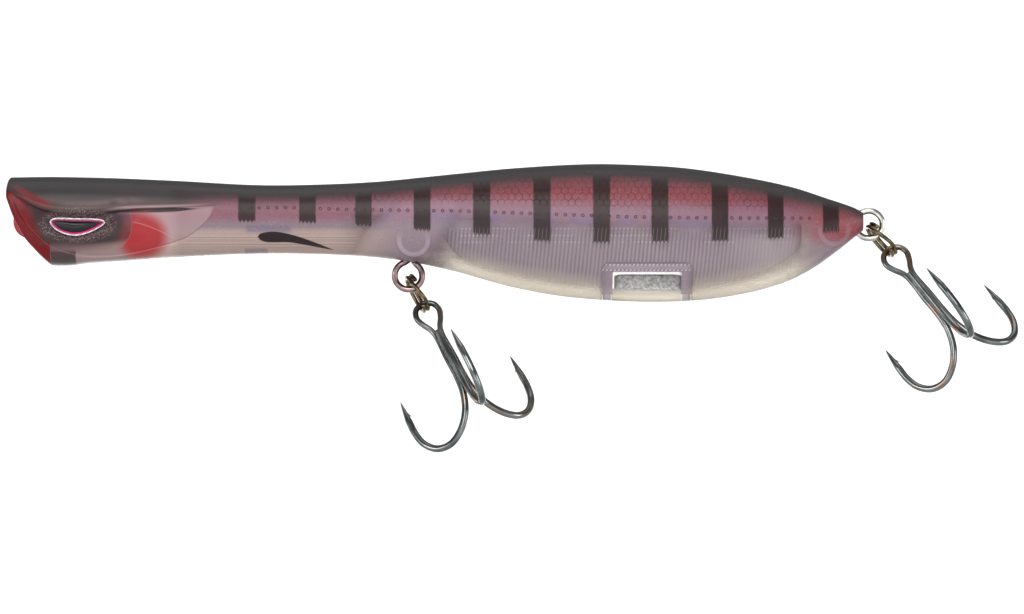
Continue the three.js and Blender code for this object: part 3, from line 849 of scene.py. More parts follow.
def chamber_finish(paint, body):
    """The unpainted plastic inside: grey lilac ribbed walls, cream where the moulding is solid."""
    f = Finish("moulded_clear_plastic")
    x, z = f.x, f.z
    above_keel = f.attribute("above_keel")
    above_floor = f.attribute("above_floor")
    groove = rib_wave(f, body)
    ribbed = f.both(f.attribute("ribbed"), f.band(x, 45, 108, 0.4))
    colour = f.blend(f.step(z, -7.5, -1.0), tone(190, 180, 181), tone(156, 138, 152))
    colour = f.blend(f.step(f.noise(0.25, 2.0, 0.5), 0.35, 0.7), colour, tone(176, 164, 170))
    # painted shade in the grooves between the ribs and a painted highlight on their crests
    dark = f.both(f.step(groove, 0.6, 1.0), ribbed)
    colour = f.laid(colour, dark, 0.7, tone(78, 62, 78))
    light = f.both(f.step(groove, 0.3, 0.0), ribbed)
    colour = f.laid(colour, light, 0.5, tone(222, 212, 216))
    # painted highlight: the chamber's rear end lightened against the shade of its curved wall
    lit_chamber_end = f.both(f.step(x, 95, 106), f.step(z, -0.8, -3.0))
    colour = f.laid(colour, lit_chamber_end, 0.7, tone(226, 216, 218))
    cream = f.both(f.step(above_floor, 2.2, 0.2), f.step(x, 58, 64))
    colour = f.laid(colour, cream, 0.75, tone(240, 230, 212))

    # the channel moulded along the chamber: lines that catch the light where the ribs cross them
    lines = f.band(z, -1.12, -1.0, 0.06)
    for low in (-2.1, -3.02):
        lines = f.larger(lines, f.band(z, low, low + 0.14, 0.06))
    lines = f.both(lines, f.band(x, 60.4, 106.8, 0.1), f.step(groove, 0.6, 0.2))
    patches = f.step(f.noise(0.35, 1.0, 0.5), 0.4, 0.55)
    colour = f.blend(f.both(lines, patches), colour, tone(250, 240, 240))

    # the block round the belly hanger, and the wire's shape under it, with bright patches of
    # painted shine, and a painted shade along the keel below it
    block = f.step(f.attribute("hollow_depth"), 0.03, 0.0)
    solid = f.blend(f.step(x, 57, 60), tone(160, 142, 144), paint.keel)
    colour = f.laid(colour, block, 0.9, solid)
    # painted shine in bright patches on the block
    sheen = f.noise(0.9, 3.0, 0.6, f.stretched(0.25, 1.0, 1.6))
    shine = f.both(block, f.step(sheen, 0.45, 0.7), f.step(x, 56, 60))
    colour = f.blend(shine, colour, tone(252, 248, 238))
    # painted shade along the keel's edge
    foot = f.both(f.step(above_keel, 0.4, 0.05), f.step(x, 57, 61))
    colour = f.laid(colour, foot, 0.5, tone(150, 140, 140))

    # the pocket's walls and lid show through as an arch, with painted highlights as white edges and
    # slanted dashes, and painted shade in bands along its outer edge
    middle = (POCKET["x0"] + POCKET["x1"]) / 2
    half = (POCKET["x1"] - POCKET["x0"]) / 2
    from_middle = f.size(x - middle)
    to_side = from_middle - half
    to_top = z - POCKET["lid_top"]
    corner = f.larger(to_side + 1.0, 0.0) + f.larger(to_top + 1.0, 0.0)
    outer = f.larger(f.larger(to_side, to_top), corner - 1.42)
    inner = f.larger(to_side + POCKET["wall"], z - POCKET["lid_foot"])
    arch = f.both(f.step(outer, 0.05, -0.05), f.step(inner, -0.05, 0.05))
    colour = f.laid(colour, arch, 0.8, tone(206, 196, 200))
    # painted highlights along the arch's edges
    arch_edge_highlight = f.larger(f.band(outer, -0.16, 0.0, 0.06), f.band(inner, 0.0, 0.16, 0.06))
    slanted = f.fraction((z * -0.6 + x) / 0.55)
    # painted highlights: slanted dashes along the lid
    dash_highlight = f.step(f.size(slanted - 0.5), 0.26, 0.14)
    legs = f.step(z, -6.9, -7.2)
    # painted shade along the arch's outer edge
    shade = f.larger(f.band(outer, 0.02, 0.14, 0.06), f.band(outer, -0.4, -0.26, 0.06))
    colour = f.laid(colour, shade, 0.6, tone(96, 80, 92))
    colour = f.blend(f.both(arch_edge_highlight, f.larger(dash_highlight, legs)), colour, tone(255, 252, 250))

    window = f.both(
        f.step(inner, 0.0, -0.06), f.step(f.attribute("hollow_depth"), 0.2, 0.5),
        f.step(z, -7.0, -7.05),
    )
    f.bump(groove * ribbed, 0.6, 0.1)
    f.set(Base_Color=colour, Roughness=0.25, Alpha=window * -0.86 + 1.0)
    return f.material


def metal_finish(name, light, dark, rough, scale=0.5, tint=None):
    """Plated wire: two tones in slow soft clouds, faint drawing lines, and a tint in patches."""
    f = Finish(name)
    cloud = f.noise(scale, 2.0, 0.5)
    colour = f.blend(f.step(cloud, 0.25, 0.75), dark, light)
    if tint:
        patch = f.step(f.noise(scale * 0.9, 1.0, 0.4, f.stretched(1.0, 1.3, 0.8)), 0.55, 0.72)
        colour = f.blend(patch, colour, tint)
    lines = f.noise(5.0, 3.0, 0.7)
    f.bump(lines, 0.08, 0.015)
    f.set(Base_Color=colour, Metallic=1.0, Roughness=lines * 0.12 + rough)
    return f.material


def painted_finish(name, colour, worn, rough, metallic=0.0):
    """Paint over wire: an even coat with thin places where the metal or plastic below shows."""
    f = Finish(name)
    wear = f.step(f.noise(1.9, 4.0, 0.65), 0.6, 0.72)
    f.bump(f.noise(2.6, 3.0, 0.5), 0.2, 0.04)
    f.set(Base_Color=f.laid(colour, wear, 0.6, worn), Metallic=metallic)
    f.set(Roughness=wear * 0.25 + rough, Coat_Weight=0.4, Coat_Roughness=0.08)
    return f.material


def ballast_finish():
    """A sawn and tumbled metal bar: bright grey grain with dark pits."""
    f = Finish("tumbled_grey_metal")
    grain = f.noise(2.4, 5.0, 0.8)
    pits = f.step(f.noise(1.5, 5.0, 0.75), 0.57, 0.64)
    colour = f.blend(f.step(grain, 0.38, 0.62), tone(168, 172, 172), tone(250, 250, 248))
    colour = f.laid(colour, pits, 0.7, tone(92, 98, 100))
    f.bump(grain, 1.0, 0.3)
    f.set(Base_Color=colour, Metallic=0.15, Roughness=0.5)
    return f.material


def foil_finish():
    """Printed eye foil: a silver rim round a magenta line, from the distance to the eye's edge."""
    f = Finish("printed_eye_foil")
    inset = f.attribute("inset")
    scuff = f.noise(4.0, 4.0, 0.7)
    colour = f.blend(f.step(scuff, 0.45, 0.62), tone(214, 206, 208), tone(250, 246, 246))
    magenta = f.both(f.step(inset, 0.16, 0.2), f.step(f.z, 0.12, -0.2) * 0.75 + 0.25)
    colour = f.blend(f.step(inset, 0.16, 0.2), colour, tone(60, 10, 36))
    colour = f.blend(magenta, colour, tone(204, 14, 116))
    colour = f.blend(f.step(inset, 0.36, 0.5), colour, tone(30, 10, 24))
    f.bump(scuff, 0.2, 0.02)
    f.set(Base_Color=colour, Metallic=0.25, Roughness=0.25)
    return f.material


def pupil_finish():
    """Glossy near-black resin, a little warmer in its slow clouds."""
    f = Finish("black_resin")
    colour = f.blend(f.noise(0.8, 2.0, 0.5), tone(8, 8, 10), tone(24, 22, 26))
    f.set(Base_Color=colour, Roughness=0.08, Specular_IOR_Level=0.3)
    f.set(Coat_Weight=0.15, Coat_Roughness=0.03)
    f.bump(f.noise(1.5, 2.0, 0.5), 0.06, 0.02)
    return f.material


def floor_finish():
    """Plain pale matt paper."""
    f = Finish("pale_floor")
    colour = f.blend(f.noise(0.004, 2.0, 0.5), tone(243, 243, 243), tone(247, 247, 247))
    f.set(Base_Color=colour, Roughness=0.9, Specular_IOR_Level=0.1)
    return f.material


# ---------- the half shells ----------

def spread(*stretches):
    """Rising values from (start, end, pitch) stretches laid end to end."""
    parts = [np.arange(start, end - pitch / 2, pitch) for start, end, pitch in stretches]
    return np.concatenate([*parts, [stretches[-1][1]]])


def hollow_share(x, span):
    """A hollow's share of its full section at x: (1 - |t|^n)^(1/n), t from -1 to 1 along it."""
    t = np.clip(np.abs((x - sum(span) / 2) / ((span[1] - span[0]) / 2)), 0, 1)
    return (1 - t ** END_SQUARENESS) ** (1 / END_SQUARENESS)


def shell_grid(body, side):
    """Rows of points along one half shell and its columns round it, outside first, then inside.

    Outside, a section is the superellipse y = hw sin^q(a), z = middle + rise cos^q(a), with a
    from the back to the keel, less relief(). Ahead of it the rows shrink towards the middle of
    the mouth as x = lip + setback + depth sqrt(1 - (r/s)^2), r the share of the section left and
    s that share at the cup's edge. Inside, the same superellipse stands one wall in, scaled by
    hollow_share(), with ribs y - d cos(2 pi x / pitch).
    """
    wall = body.wall / MM
    seam = body.seam / MM
    outer = np.linspace(0, np.pi, 86)
    inner = np.linspace(np.pi, 0, 40)
    front_reach = 8.0
    front = np.linspace(0, 1, 74)[:-1]
    x_rest = spread(
        (front_reach, 28, 0.16), (28, 44.6, 0.4), (44.6, 45.8, 0.12), (45.8, 48, 0.4),
        (48, 49.4, 0.12), (49.4, 59, 0.3), (59, 106.5, 0.1375), (106.5, 108.3, 0.09),
        (108.3, 116.2, 0.26), (116.2, TAIL_X, 0.1),
    )
    nominal = np.concatenate([SOLID_FROM * (1 - front) + front_reach * front, x_rest])
    slant = np.concatenate([1 - front, np.zeros(len(x_rest))])

    power = 2 / roundness(nominal)[:, None]
    top, middle, bottom = levels(nominal)
    up = powered(np.cos(outer)[None], power)
    rise = np.where(up > 0, (top - middle)[:, None], (middle - bottom)[:, None])
    z = middle[:, None] + rise * up
    level = np.where(slant > 0, front_reach, nominal)[:, None]
    x = (through(LIP_LINE, z) + RIM_SETBACK) * slant[:, None] + level * (1 - slant[:, None])
    share_out = np.abs(powered(np.sin(outer)[None], power))
    y = through(HALF_WIDTH, x) * share_out
    y = y - relief(x, z) * smooth(share_out, 0.35, 0.7)
    sunk = socket_depth(x, z)
    y = np.where(share_out > 0.5, y * (1 - sunk) + np.minimum(y, SOCKET_FLOOR) * sunk, y)
    skin = np.stack([x, y, z], -1)

    # the mouth: rows that shrink from the rim to the cup's deepest point
    cup_share = np.sin(np.linspace(0, np.pi / 2, 26)) * CUP_SHARE
    share = np.concatenate([cup_share, np.linspace(0.85, 0.995, 12)])
    rim = skin[0]
    y = share[:, None] * rim[None, :, 1]
    z = middle[0] + share[:, None] * (rim[None, :, 2] - middle[0])
    deep = CUP_DEPTH * np.sqrt(np.clip(1 - (share / CUP_SHARE) ** 2, 0, 1))
    rounding = RIM_SETBACK * ((share - 0.92) / 0.08) ** 2
    depth = np.where(share < CUP_SHARE, deep + RIM_SETBACK, rounding)[:, None]
    cup = np.stack([through(LIP_LINE, z) + depth, y, z], -1)
    skin = np.concatenate([cup, skin])

    # the inside: neck hollow, rear hollow, and nothing between
    x = np.concatenate([np.full(len(share), SOLID_FROM), nominal])
    share_in = np.maximum(hollow_share(x, NECK_HOLLOW), hollow_share(x, REAR_HOLLOW))
    inside_neck = x < HOLLOWS_PART
    share_in = np.where((x > NECK_HOLLOW[0]) & (x < REAR_HOLLOW[1]), share_in, 0)
    floor = np.where(inside_neck, NECK_FLOOR, through(REAR_FLOOR, x))
    top_in, middle_in, bottom_in = levels(x, wall, floor)
    power = 2 / roundness(x)
    up = powered(np.cos(inner)[None], power[:, None])
    rise = np.where(up > 0, (top_in - middle_in)[:, None], (middle_in - bottom_in)[:, None])
    z = middle_in[:, None] + share_in[:, None] * rise * up
    out = np.abs(powered(np.sin(inner)[None], power[:, None]))
    y = share_in[:, None] * (through(HALF_WIDTH, x) - wall)[:, None] * out
    ribbed = smooth(-z, 0.8, 1.4) * smooth(x, 45, 46)[:, None] * smooth(-x, -108, -107)[:, None]
    left, right, lid = POCKET["x0"], POCKET["x1"], POCKET["lid_top"]
    pocket = (smooth(x, left - 0.15, left) * smooth(-x, -right - 0.15, -right))[:, None]
    ribbed = ribbed * (1 - pocket * smooth(-z, -lid - 0.1, -lid))
    lean = x[:, None] - 0.1 * z
    rib = body.rib_depth / MM * np.cos(2 * np.pi * lean / (body.rib_pitch / MM)) * ribbed
    y = y - rib * smooth(out, 0.1, 0.5) * (share_in > 0)[:, None]
    ahead = np.concatenate([np.full(len(share), SOLID_TO), np.maximum(nominal, SOLID_TO)])
    x_in = np.where(share_in > 0, x, ahead)
    chamber = np.stack([np.broadcast_to(x_in[:, None], y.shape), y, z], -1)
    closed = share_in <= 0
    level = np.concatenate([np.full(len(share), middle[0]), middle])
    chamber[closed, :, 2] = level[closed, None]

    grid = np.concatenate([skin, chamber], 1)
    grid[:, :, 1] = side * (np.maximum(grid[:, :, 1], 0) + seam)
    depth = np.concatenate([np.zeros(skin.shape[:2]), chamber[:, :, 1]], 1)
    rib_mask = np.concatenate([np.zeros(skin.shape[:2]), ribbed], 1)
    return grid, len(outer), depth, rib_mask


def make_shell(body, paint_materials, side, name):
    grid, outer_count, depth, rib_mask = shell_grid(body, side)
    rows, columns = grid.shape[:2]
    faces = grid_faces(rows, columns, wrap_columns=True)
    column = np.tile(np.arange(columns), rows - 1)
    inside = (column >= outer_count - 1).astype(int)
    points = grid.reshape(-1, 3)
    # the blunt tail closes on one point
    last = (rows - 1) * columns
    cap = [[last + j, last + (j + 1) % columns, len(points)] for j in range(columns)]
    points = np.concatenate([points, [[TAIL_X + TAIL_BULGE, *grid[-1, -1, 1:]]]])
    x, z = points[:, 0], points[:, 2]
    first, last_bar = BAR_CENTRES[0], BAR_CENTRES[-1]
    bars = [(at, number) for number, at in enumerate(BAR_CENTRES)]
    phase = through(bars, np.clip(x, first, last_bar))
    phase = phase + (np.minimum(x - first, 0) + np.maximum(x - last_bar, 0)) / BAR_PITCH
    attributes = {
        "below_back": through(BACK_LINE, x) - z,
        "above_keel": z - through(BELLY_LINE, x),
        "above_pores": z - through(PORE_LINE, x),
        "above_brow": z - through(BROW_LINE, x),
        "above_cheek": z - through(CHEEK_LINE, x),
        "behind_gill": x - through(GILL_LINE, z),
        "above_opercle": z - through(OPERCLE_LINE, x),
        "above_floor": z - through(REAR_FLOOR, x),
        "above_foot": z - through(list(zip(BAR_CENTRES, BAR_FEET)), x),
        "bar_phase": phase,
        "below_fin_top": through(FIN_TOP, x) - z,
        "above_fin_foot": z - through(FIN_FOOT, x),
        "hollow_depth": np.append(depth.ravel(), 0),
        "ribbed": np.append(rib_mask.ravel(), 0),
    }
    return mesh_piece(
        name, points, faces.tolist() + cap, "lure_body", paint_materials,
        [name.replace("_skin", "")], inside.tolist() + [0] * len(cap), attributes,
    )


def make_pores(body, side, name, material):
    """A raised ring round each pore: a small torus pressed flat, facing out of the flank."""
    pitch = body.pore_pitch / MM
    along = np.arange(*PORE_SPAN, pitch)
    height = through(PORE_LINE, along)
    turn = np.linspace(0, 2 * np.pi, PORE_SIDES, endpoint=False)
    tube = np.linspace(0, 2 * np.pi, PORE_TUBE_SIDES, endpoint=False)
    reach = PORE_RADIUS + PORE_EDGE * np.cos(tube)
    x = reach[None] * np.cos(turn)[:, None]
    z = reach[None] * np.sin(turn)[:, None]
    y = np.broadcast_to(0.035 * np.sin(tube)[None], x.shape)
    at_x = along[:, None] + x.ravel()[None]
    at_z = height[:, None] + z.ravel()[None]
    at_y = side * (flank_y(at_x, at_z) + 0.015 + y.ravel()[None])
    points = np.stack([at_x, at_y, at_z], -1).reshape(-1, 3)
    faces = grid_faces(PORE_SIDES, PORE_TUBE_SIDES, True, True)
    all_faces = (faces[None] + (np.arange(len(along)) * x.size)[:, None, None]).reshape(-1, 4)
    return mesh_piece(name, points, all_faces.tolist(), "lure_body", material)


# ---------- the ballast pocket ----------

def pocket_finish():
    """The pocket's walls: mauve grey clear plastic, with pale painted highlights along the lid's
    edges in slanted dashes.
    """
    f = Finish("pocket_wall_plastic")
    x, z = f.x, f.z
    cloud = f.noise(0.8, 3.0, 0.5)
    colour = f.blend(cloud, tone(142, 126, 138), tone(170, 154, 166))
    # painted highlights: pale dashes along the lid's two edges
    slanted = f.fraction((z * -0.6 + x) / 0.55)
    dash_highlight = f.step(f.size(slanted - 0.5), 0.24, 0.12)
    rows = f.larger(f.band(z, -6.22, -6.0, 0.05), f.band(z, -6.95, -6.75, 0.05))
    colour = f.blend(f.both(dash_highlight, rows), colour, tone(242, 234, 236))
    lid = f.band(z, -6.7, -6.28, 0.06)
    colour = f.laid(colour, lid, 0.6, tone(178, 160, 170))
    f.bump(cloud, 0.3, 0.05)
    f.set(Base_Color=colour, Roughness=0.2, Coat_Weight=0.3)
    return f.material


def make_pocket(body, side, name, material):
    """An arch of plate across one half: up the front wall, along under the lid and down the back.

    The plate's outline in X and Z is a rounded arch, offset by its thickness; across, each of its
    points runs from the seam out to just inside the body's inner face at that place.
    """
    x0, x1, top = POCKET["x0"], POCKET["x1"], POCKET["lid_top"]
    wall = POCKET["wall"]
    lid = top - POCKET["lid_foot"]
    foot = -10.2
    turn = np.radians(np.linspace(180, 90, 8))

    def arch(inset_x, inset_z, radius):
        left, right, up = x0 + inset_x, x1 - inset_x, top - inset_z
        corner = np.column_stack([
            left + radius * (1 + np.cos(turn)), up - radius * (1 - np.sin(turn)),
        ])
        mirrored = np.column_stack([left + right - corner[::-1, 0], corner[::-1, 1]])
        down = np.linspace(foot, up - radius, 14)[:-1, None]
        run = np.linspace(left + radius, right - radius, 40)[1:-1, None]
        legs = np.hstack([np.full_like(down, left), down])
        return np.concatenate([
            legs, corner, np.hstack([run, np.full_like(run, up)]), mirrored,
            np.hstack([left + right - legs[::-1, :1], legs[::-1, 1:]]),
        ])

    outline = np.concatenate([arch(0, 0, 0.9), arch(wall, lid, 0.35)[::-1]])
    x, z = outline.T
    reach = flank_y(x, z) - body.wall / MM * 0.72
    share = np.linspace(0, 1, 10)
    y = side * (body.seam / MM * 2 + share[:, None] * np.maximum(reach - 0.1, 0.3)[None])
    points = np.stack([np.broadcast_to(x, y.shape), y, np.broadcast_to(z, y.shape)], -1)
    count = len(outline)
    faces = grid_faces(10, count, wrap_columns=True).tolist()
    half = count // 2
    for row in (0, 9):
        for j in range(half - 1):
            quad = [row * count + k for k in (j, j + 1, count - 2 - j, count - 1 - j)]
            faces.append(quad if row else quad[::-1])
    return mesh_piece(name, points.reshape(-1, 3), faces, "lure_body", material)


def slug_surface():
    """A squared bar: in section |y/a|^n + |z/b|^n = 1 with n 9, its ends drawn in the same way."""
    half_x = (SLUG["x1"] - SLUG["x0"]) / 2
    half_z = (SLUG["top"] - SLUG["bottom"]) / 2
    centre = np.array([SLUG["x0"] + half_x, 0, SLUG["bottom"] + half_z])
    count = 90
    u = np.linspace(-np.pi / 2, np.pi / 2, count)[:, None]
    v = np.linspace(0, 2 * np.pi, count, endpoint=False)[None]
    power = 2 / 9
    draw = powered(np.cos(u), power)
    x = half_x * powered(np.sin(u), power) * np.ones_like(v)
    y = SLUG["half_width"] * draw * powered(np.cos(v), power)
    z = half_z * draw * powered(np.sin(v), power)
    grain = 0.03 * np.sin(5.1 * x + 3 * z) * np.sin(6.3 * y + 2 * x) * np.sin(7.7 * z - x)
    points = centre + np.stack([x, y * (1 + grain), z * (1 + grain)], -1)
    return points.reshape(-1, 3), grid_faces(count, count, wrap_columns=True).tolist()


# ---------- eyes ----------

def eye_rim(margin, count=120):
    """Points evenly round the half-moon eye, [along, height], grown outwards by a margin."""
    top = np.array(EYE_BROW, float)
    foot = np.array(EYE_FOOT, float)[::-1]
    knots = np.concatenate([top, foot[1:-1]])
    standing = np.column_stack([knots[:, 0], np.zeros(len(knots)), knots[:, 1]])
    line = even(standing, count, closed=True)[:, [0, 2]]
    tangent = np.roll(line, -1, 0) - np.roll(line, 1, 0)
    tangent /= np.linalg.norm(tangent, axis=1, keepdims=True)
    outward = np.stack([-tangent[:, 1], tangent[:, 0]], 1)
    return line + outward * margin


def eye_plate(rim, centre, base, crown, side, power):
    """A domed plate over a rim: y = base + crown (1 - r^power), r from the centre to the rim."""
    share = np.sin(np.linspace(0, np.pi / 2, 14))
    ring = centre + share[:, None, None] * (rim - centre)[None]
    rise = base + crown * (1 - share ** power)
    y = np.broadcast_to(rise[:, None], ring.shape[:2])
    points = np.stack([ring[..., 0], y, ring[..., 1]], -1)
    back = points[-1:].copy()
    back[..., 1] = base - 0.18
    points = np.concatenate([points, back]).reshape(-1, 3)
    points[:, 1] *= side
    faces = grid_faces(len(share) + 1, len(rim), wrap_columns=True).tolist()
    faces.append([len(share) * len(rim) + j for j in range(len(rim))])
    return points, faces


def make_eye(side, name, foil, pupil, bezel):
    centre = np.array(EYE_CENTRE)
    rim = eye_rim(0.1)
    points, faces = eye_plate(rim, centre, SOCKET_FLOOR + 0.2, 0.05, side, 4)
    across = points[:, None, [0, 2]] - rim[None]
    inset = np.linalg.norm(across, axis=2).min(1)
    mesh_piece(
        f"{name}_eye_foil_print", points, faces, "lure_body", foil,
        [f"{name}_eye_foil"], attributes={"inset": inset},
    )
    points, faces = eye_plate(eye_rim(-0.3), centre, SOCKET_FLOOR + 0.3, 0.3, side, 2)
    mesh_piece(
        f"{name}_eye_dome", points, faces, "lure_body", pupil, [f"{name}_eye_lens"]
    )
    line = eye_rim(0.06, 160)
    at = np.arange(len(line))
    path = np.column_stack([line[:, 0], 0 * at + side * (SOCKET_FLOOR + 0.3), line[:, 1]])
    wobble = 0.1 + 0.014 * np.sin(at * 0.7) + 0.01 * np.sin(at * 1.9)
    points, faces = closed_loop(path, wobble, (0, 1, 0), 10)
    mesh_piece(f"{name}_eye_bezel", points, faces, "lure_body", bezel)


# ---------- wires ----------

def hanger_path(place):
    """A figure of eight: two open circles (R cos a, R sin a), and two strands crossing between.

    The strands pass each other at y = s sin(pi t), t from one circle to the other.
    """
    x, z, inward = place
    turn = np.radians(np.linspace(25, 335, 64))
    t = np.linspace(0, 1, 14)[1:-1, None]
    outer = LOOP_RADIUS * np.column_stack([np.cos(turn), np.sin(turn)])
    inner = np.column_stack([LOOP_PITCH - outer[:, 0], outer[:, 1]])
    strand = outer[-1] + (inner[0] - outer[-1]) * t
    back = inner[-1] + (outer[0] - inner[-1]) * t
    flat = np.concatenate([outer, strand, inner, back])
    lift = 0.4 * np.sin(np.pi * t[:, 0])
    y = np.concatenate([np.zeros(64), lift, np.zeros(64), -lift])
    a = np.radians(inward)
    along = flat[:, 0] * np.cos(a) - flat[:, 1] * np.sin(a)
    up = flat[:, 0] * np.sin(a) + flat[:, 1] * np.cos(a)
    return np.column_stack([x + along, y, z + up])


def bowl(radius, height):
    """A round floor that rises at its edge: z = h s^3, s from 0 at BOWL_FLAT of the radius to 1."""
    r = np.linspace(0, 1, 48)
    angle = np.linspace(0, 2 * np.pi, 96, endpoint=False)
    rise = height * np.clip((r - BOWL_FLAT) / (1 - BOWL_FLAT), 0, 1) ** 3
    x = radius * r[:, None] * np.cos(angle)
    y = radius * r[:, None] * np.sin(angle)
    points = np.stack([x, y, np.broadcast_to(rise[:, None], x.shape)], -1).reshape(-1, 3)
    return points, grid_faces(len(r), len(angle), wrap_columns=True).tolist()


def turned(axis, degrees):
    """The matrix of a turn about "X", "Y" or "Z"."""
    a = np.radians(degrees)
    c, s = np.cos(a), np.sin(a)
    return {
        "X": np.array([[1, 0, 0], [0, c, -s], [0, s, c]]),
        "Y": np.array([[c, 0, s], [0, 1, 0], [-s, 0, c]]),
        "Z": np.array([[c, -s, 0], [s, c, 0], [0, 0, 1]]),
    }[axis]


def ring_place(hanger, sweep):
    """The turn and shift that carry a split ring from its own axes to its place under a hanger."""
    chain = turned("Y", -sweep)
    shift = np.array([hanger[0], 0, hanger[1]]) + chain @ [0, 0, -RING_DROP]
    return chain @ turned("Z", RING_TWIST), shift


def hook_place(hanger, sweep, give_up):
    """The turn and shift of a treble hook, from the ring that it hangs in."""
    turn, shift = ring_place(hanger, sweep)
    turn = turn @ turned("X", -HOOK_SWING) @ turned("Y", give_up)
    shift = shift + turn @ [0, 0, -HOOK_EYE_DROP]
    return turn @ turned("Z", -(HOOK_TURN + RING_TWIST)), shift


def ring_path():
    """Two coils side by side: (s, R cos a, R sin a), s stepping across as a passes half a turn."""
    along = np.linspace(-318, 318, 200)
    across = (smooth(along, -RING_CROSSING / 2, RING_CROSSING / 2) - 0.5) * RING_COIL_STEP
    angle = np.radians(along + 180)
    return np.column_stack([across, RING_RADIUS * np.cos(angle), RING_RADIUS * np.sin(angle)])


def hook_points(line, azimuth):
    """[down, out] pairs as points of the plane that stands at an azimuth round the shank."""
    down, out = np.array(line, float).T
    a = np.radians(azimuth)
    return np.column_stack([out * np.cos(a), out * np.sin(a), -down])


def hook_barb(azimuth):
    root, tip = hook_points([HOOK_LINE[-1], HOOK_TIP], azimuth)
    along = (tip - root) / np.linalg.norm(tip - root)
    inward = hook_points([(0, -1)], azimuth)[0]
    way = 0.55 * inward - along
    way /= np.linalg.norm(way)
    t = np.linspace(0, 1, 8)
    start = root + BARB_PLACE * along
    path = start + way * BARB_LENGTH * t[:, None]
    reference = np.cross(along, inward)
    return swept(path, BARB_RADIUS * (1 - 0.93 * t ** 1.3), reference, 10)


def hook_wire(path, tips, reference, wire, sides):
    """A wire along a path, forged thicker below the shank's top and ground to a point at each tip.

    Its radius is r (1 + 0.2 s) (0.03 + 0.97 (d / g)^0.75), s rising from 0 to 1 down the shank and
    d the distance to the tip up to the ground length g.
    """
    path = even(path, 380 if tips == 2 else 200)
    step = np.linalg.norm(np.diff(path, axis=0), axis=1)
    from_start = np.concatenate([[0], np.cumsum(step)])
    to_tip = from_start[-1] - from_start
    if tips == 2:
        to_tip = np.minimum(to_tip, from_start)
    ground = np.clip(to_tip / POINT_LENGTH, 0, 1)
    forged = 1 + 0.2 * smooth(-path[:, 2], 3.5, 9.0)
    radius = wire / 2 * forged * (0.03 + 0.97 * ground ** 0.75)
    return swept(path, radius, reference, sides)


def place_points(points, place):
    turn, shift = place
    return np.asarray(points) @ turn.T + shift


# ---------- operators ----------

class POPPER_OT_shells(bpy.types.Operator):
    """Make the two clear half shells with their hollows, relief and paint"""
    bl_idname = "popper.shells"
    bl_label = "Half shells"
    bl_options = {"REGISTER", "UNDO"}

    def execute(self, context):
        body, paint = context.scene.popper_body, context.scene.popper_paint
        skins = [body_finish(paint, body), chamber_finish(paint, body)]
        pore = painted_finish("pore_print", tone(44, 14, 22), tone(120, 64, 80), 0.4)
        for side, name in ((-1, "left"), (1, "right")):
            make_shell(body, skins, side, f"{name}_shell_skin")
            make_pores(body, side, f"{name}_pores", pore)
        return {"FINISHED"}


class POPPER_OT_pocket(bpy.types.Operator):
    """Make the ballast pocket's walls and lid in each half, and the slug inside it"""
    bl_idname = "popper.pocket"
    bl_label = "Ballast pocket"
    bl_options = {"REGISTER", "UNDO"}

    def execute(self, context):
        wall = pocket_finish()
        for side, name in ((-1, "left"), (1, "right")):
            make_pocket(context.scene.popper_body, side, f"{name}_pocket_walls", wall)
        points, faces = slug_surface()
        mesh_piece(
            "ballast_bar", points, faces, "lure_body", ballast_finish(), ["ballast_slug"]
        )
        return {"FINISHED"}


class POPPER_OT_eyes(bpy.types.Operator):
    """Make the half-moon eyes: printed foil, domed pupil and silver rim"""
    bl_idname = "popper.eyes"
    bl_label = "Eyes"
    bl_options = {"REGISTER", "UNDO"}

    def execute(self, context):
        foil, pupil = foil_finish(), pupil_finish()
        bezel = metal_finish("eye_rim_silver", tone(246, 242, 242), tone(206, 196, 200), 0.22, 3.0)
        for side, name in ((-1, "left"), (1, "right")):
            make_eye(side, name, foil, pupil, bezel)
        return {"FINISHED"}


class POPPER_OT_hangers(bpy.types.Operator):
    """Make the line tie and the two hook hangers, each one wire bent to a figure of eight"""
    bl_idname = "popper.hangers"
    bl_label = "Hangers"
    bl_options = {"REGISTER", "UNDO"}

    def execute(self, context):
        wire = context.scene.popper_wire
        red, worn = tone(176, 34, 46), tone(214, 158, 96)
        warm, dusk = tone(184, 158, 160), tone(96, 74, 78)
        bright, dull = tone(246, 244, 236), tone(178, 174, 168)
        finishes = {
            "line_tie": painted_finish("red_painted_wire", red, worn, 0.22, 0.3),
            "belly_hanger": metal_finish("warm_steel_wire", warm, dusk, 0.14),
            "tail_hanger": metal_finish("bright_steel_wire", bright, dull, 0.12),
        }
        for name, place in HANGERS.items():
            radius = wire.hanger / MM / 2
            points, faces = closed_loop(hanger_path(place), radius, (0, 1, 0), wire.sides)
            mesh_piece(
                f"{name}_wire", points, faces, "lure_body", finishes[name], [name]
            )
        return {"FINISHED"}


class POPPER_OT_rings(bpy.types.Operator):
    """Make the two split rings, each two coils of one wire"""
    bl_idname = "popper.rings"
    bl_label = "Split rings"
    bl_options = {"REGISTER", "UNDO"}

    def execute(self, context):
        wire = context.scene.popper_wire
        finish = metal_finish(
            "bronze_black_nickel", tone(142, 126, 94), tone(62, 54, 44), 0.1, 0.9,
            tone(128, 74, 52),
        )
        for name, (hanger, sweep, _) in CHAINS.items():
            points, faces = swept(ring_path(), wire.ring / MM / 2, (1, 0, 0), wire.sides)
            points = place_points(points, ring_place(HANGERS[hanger], sweep))
            mesh_piece(
                f"{name}_ring_coil", points, faces, f"{name}_ring", finish,
                [f"{name}_split_ring"],
            )
        return {"FINISHED"}


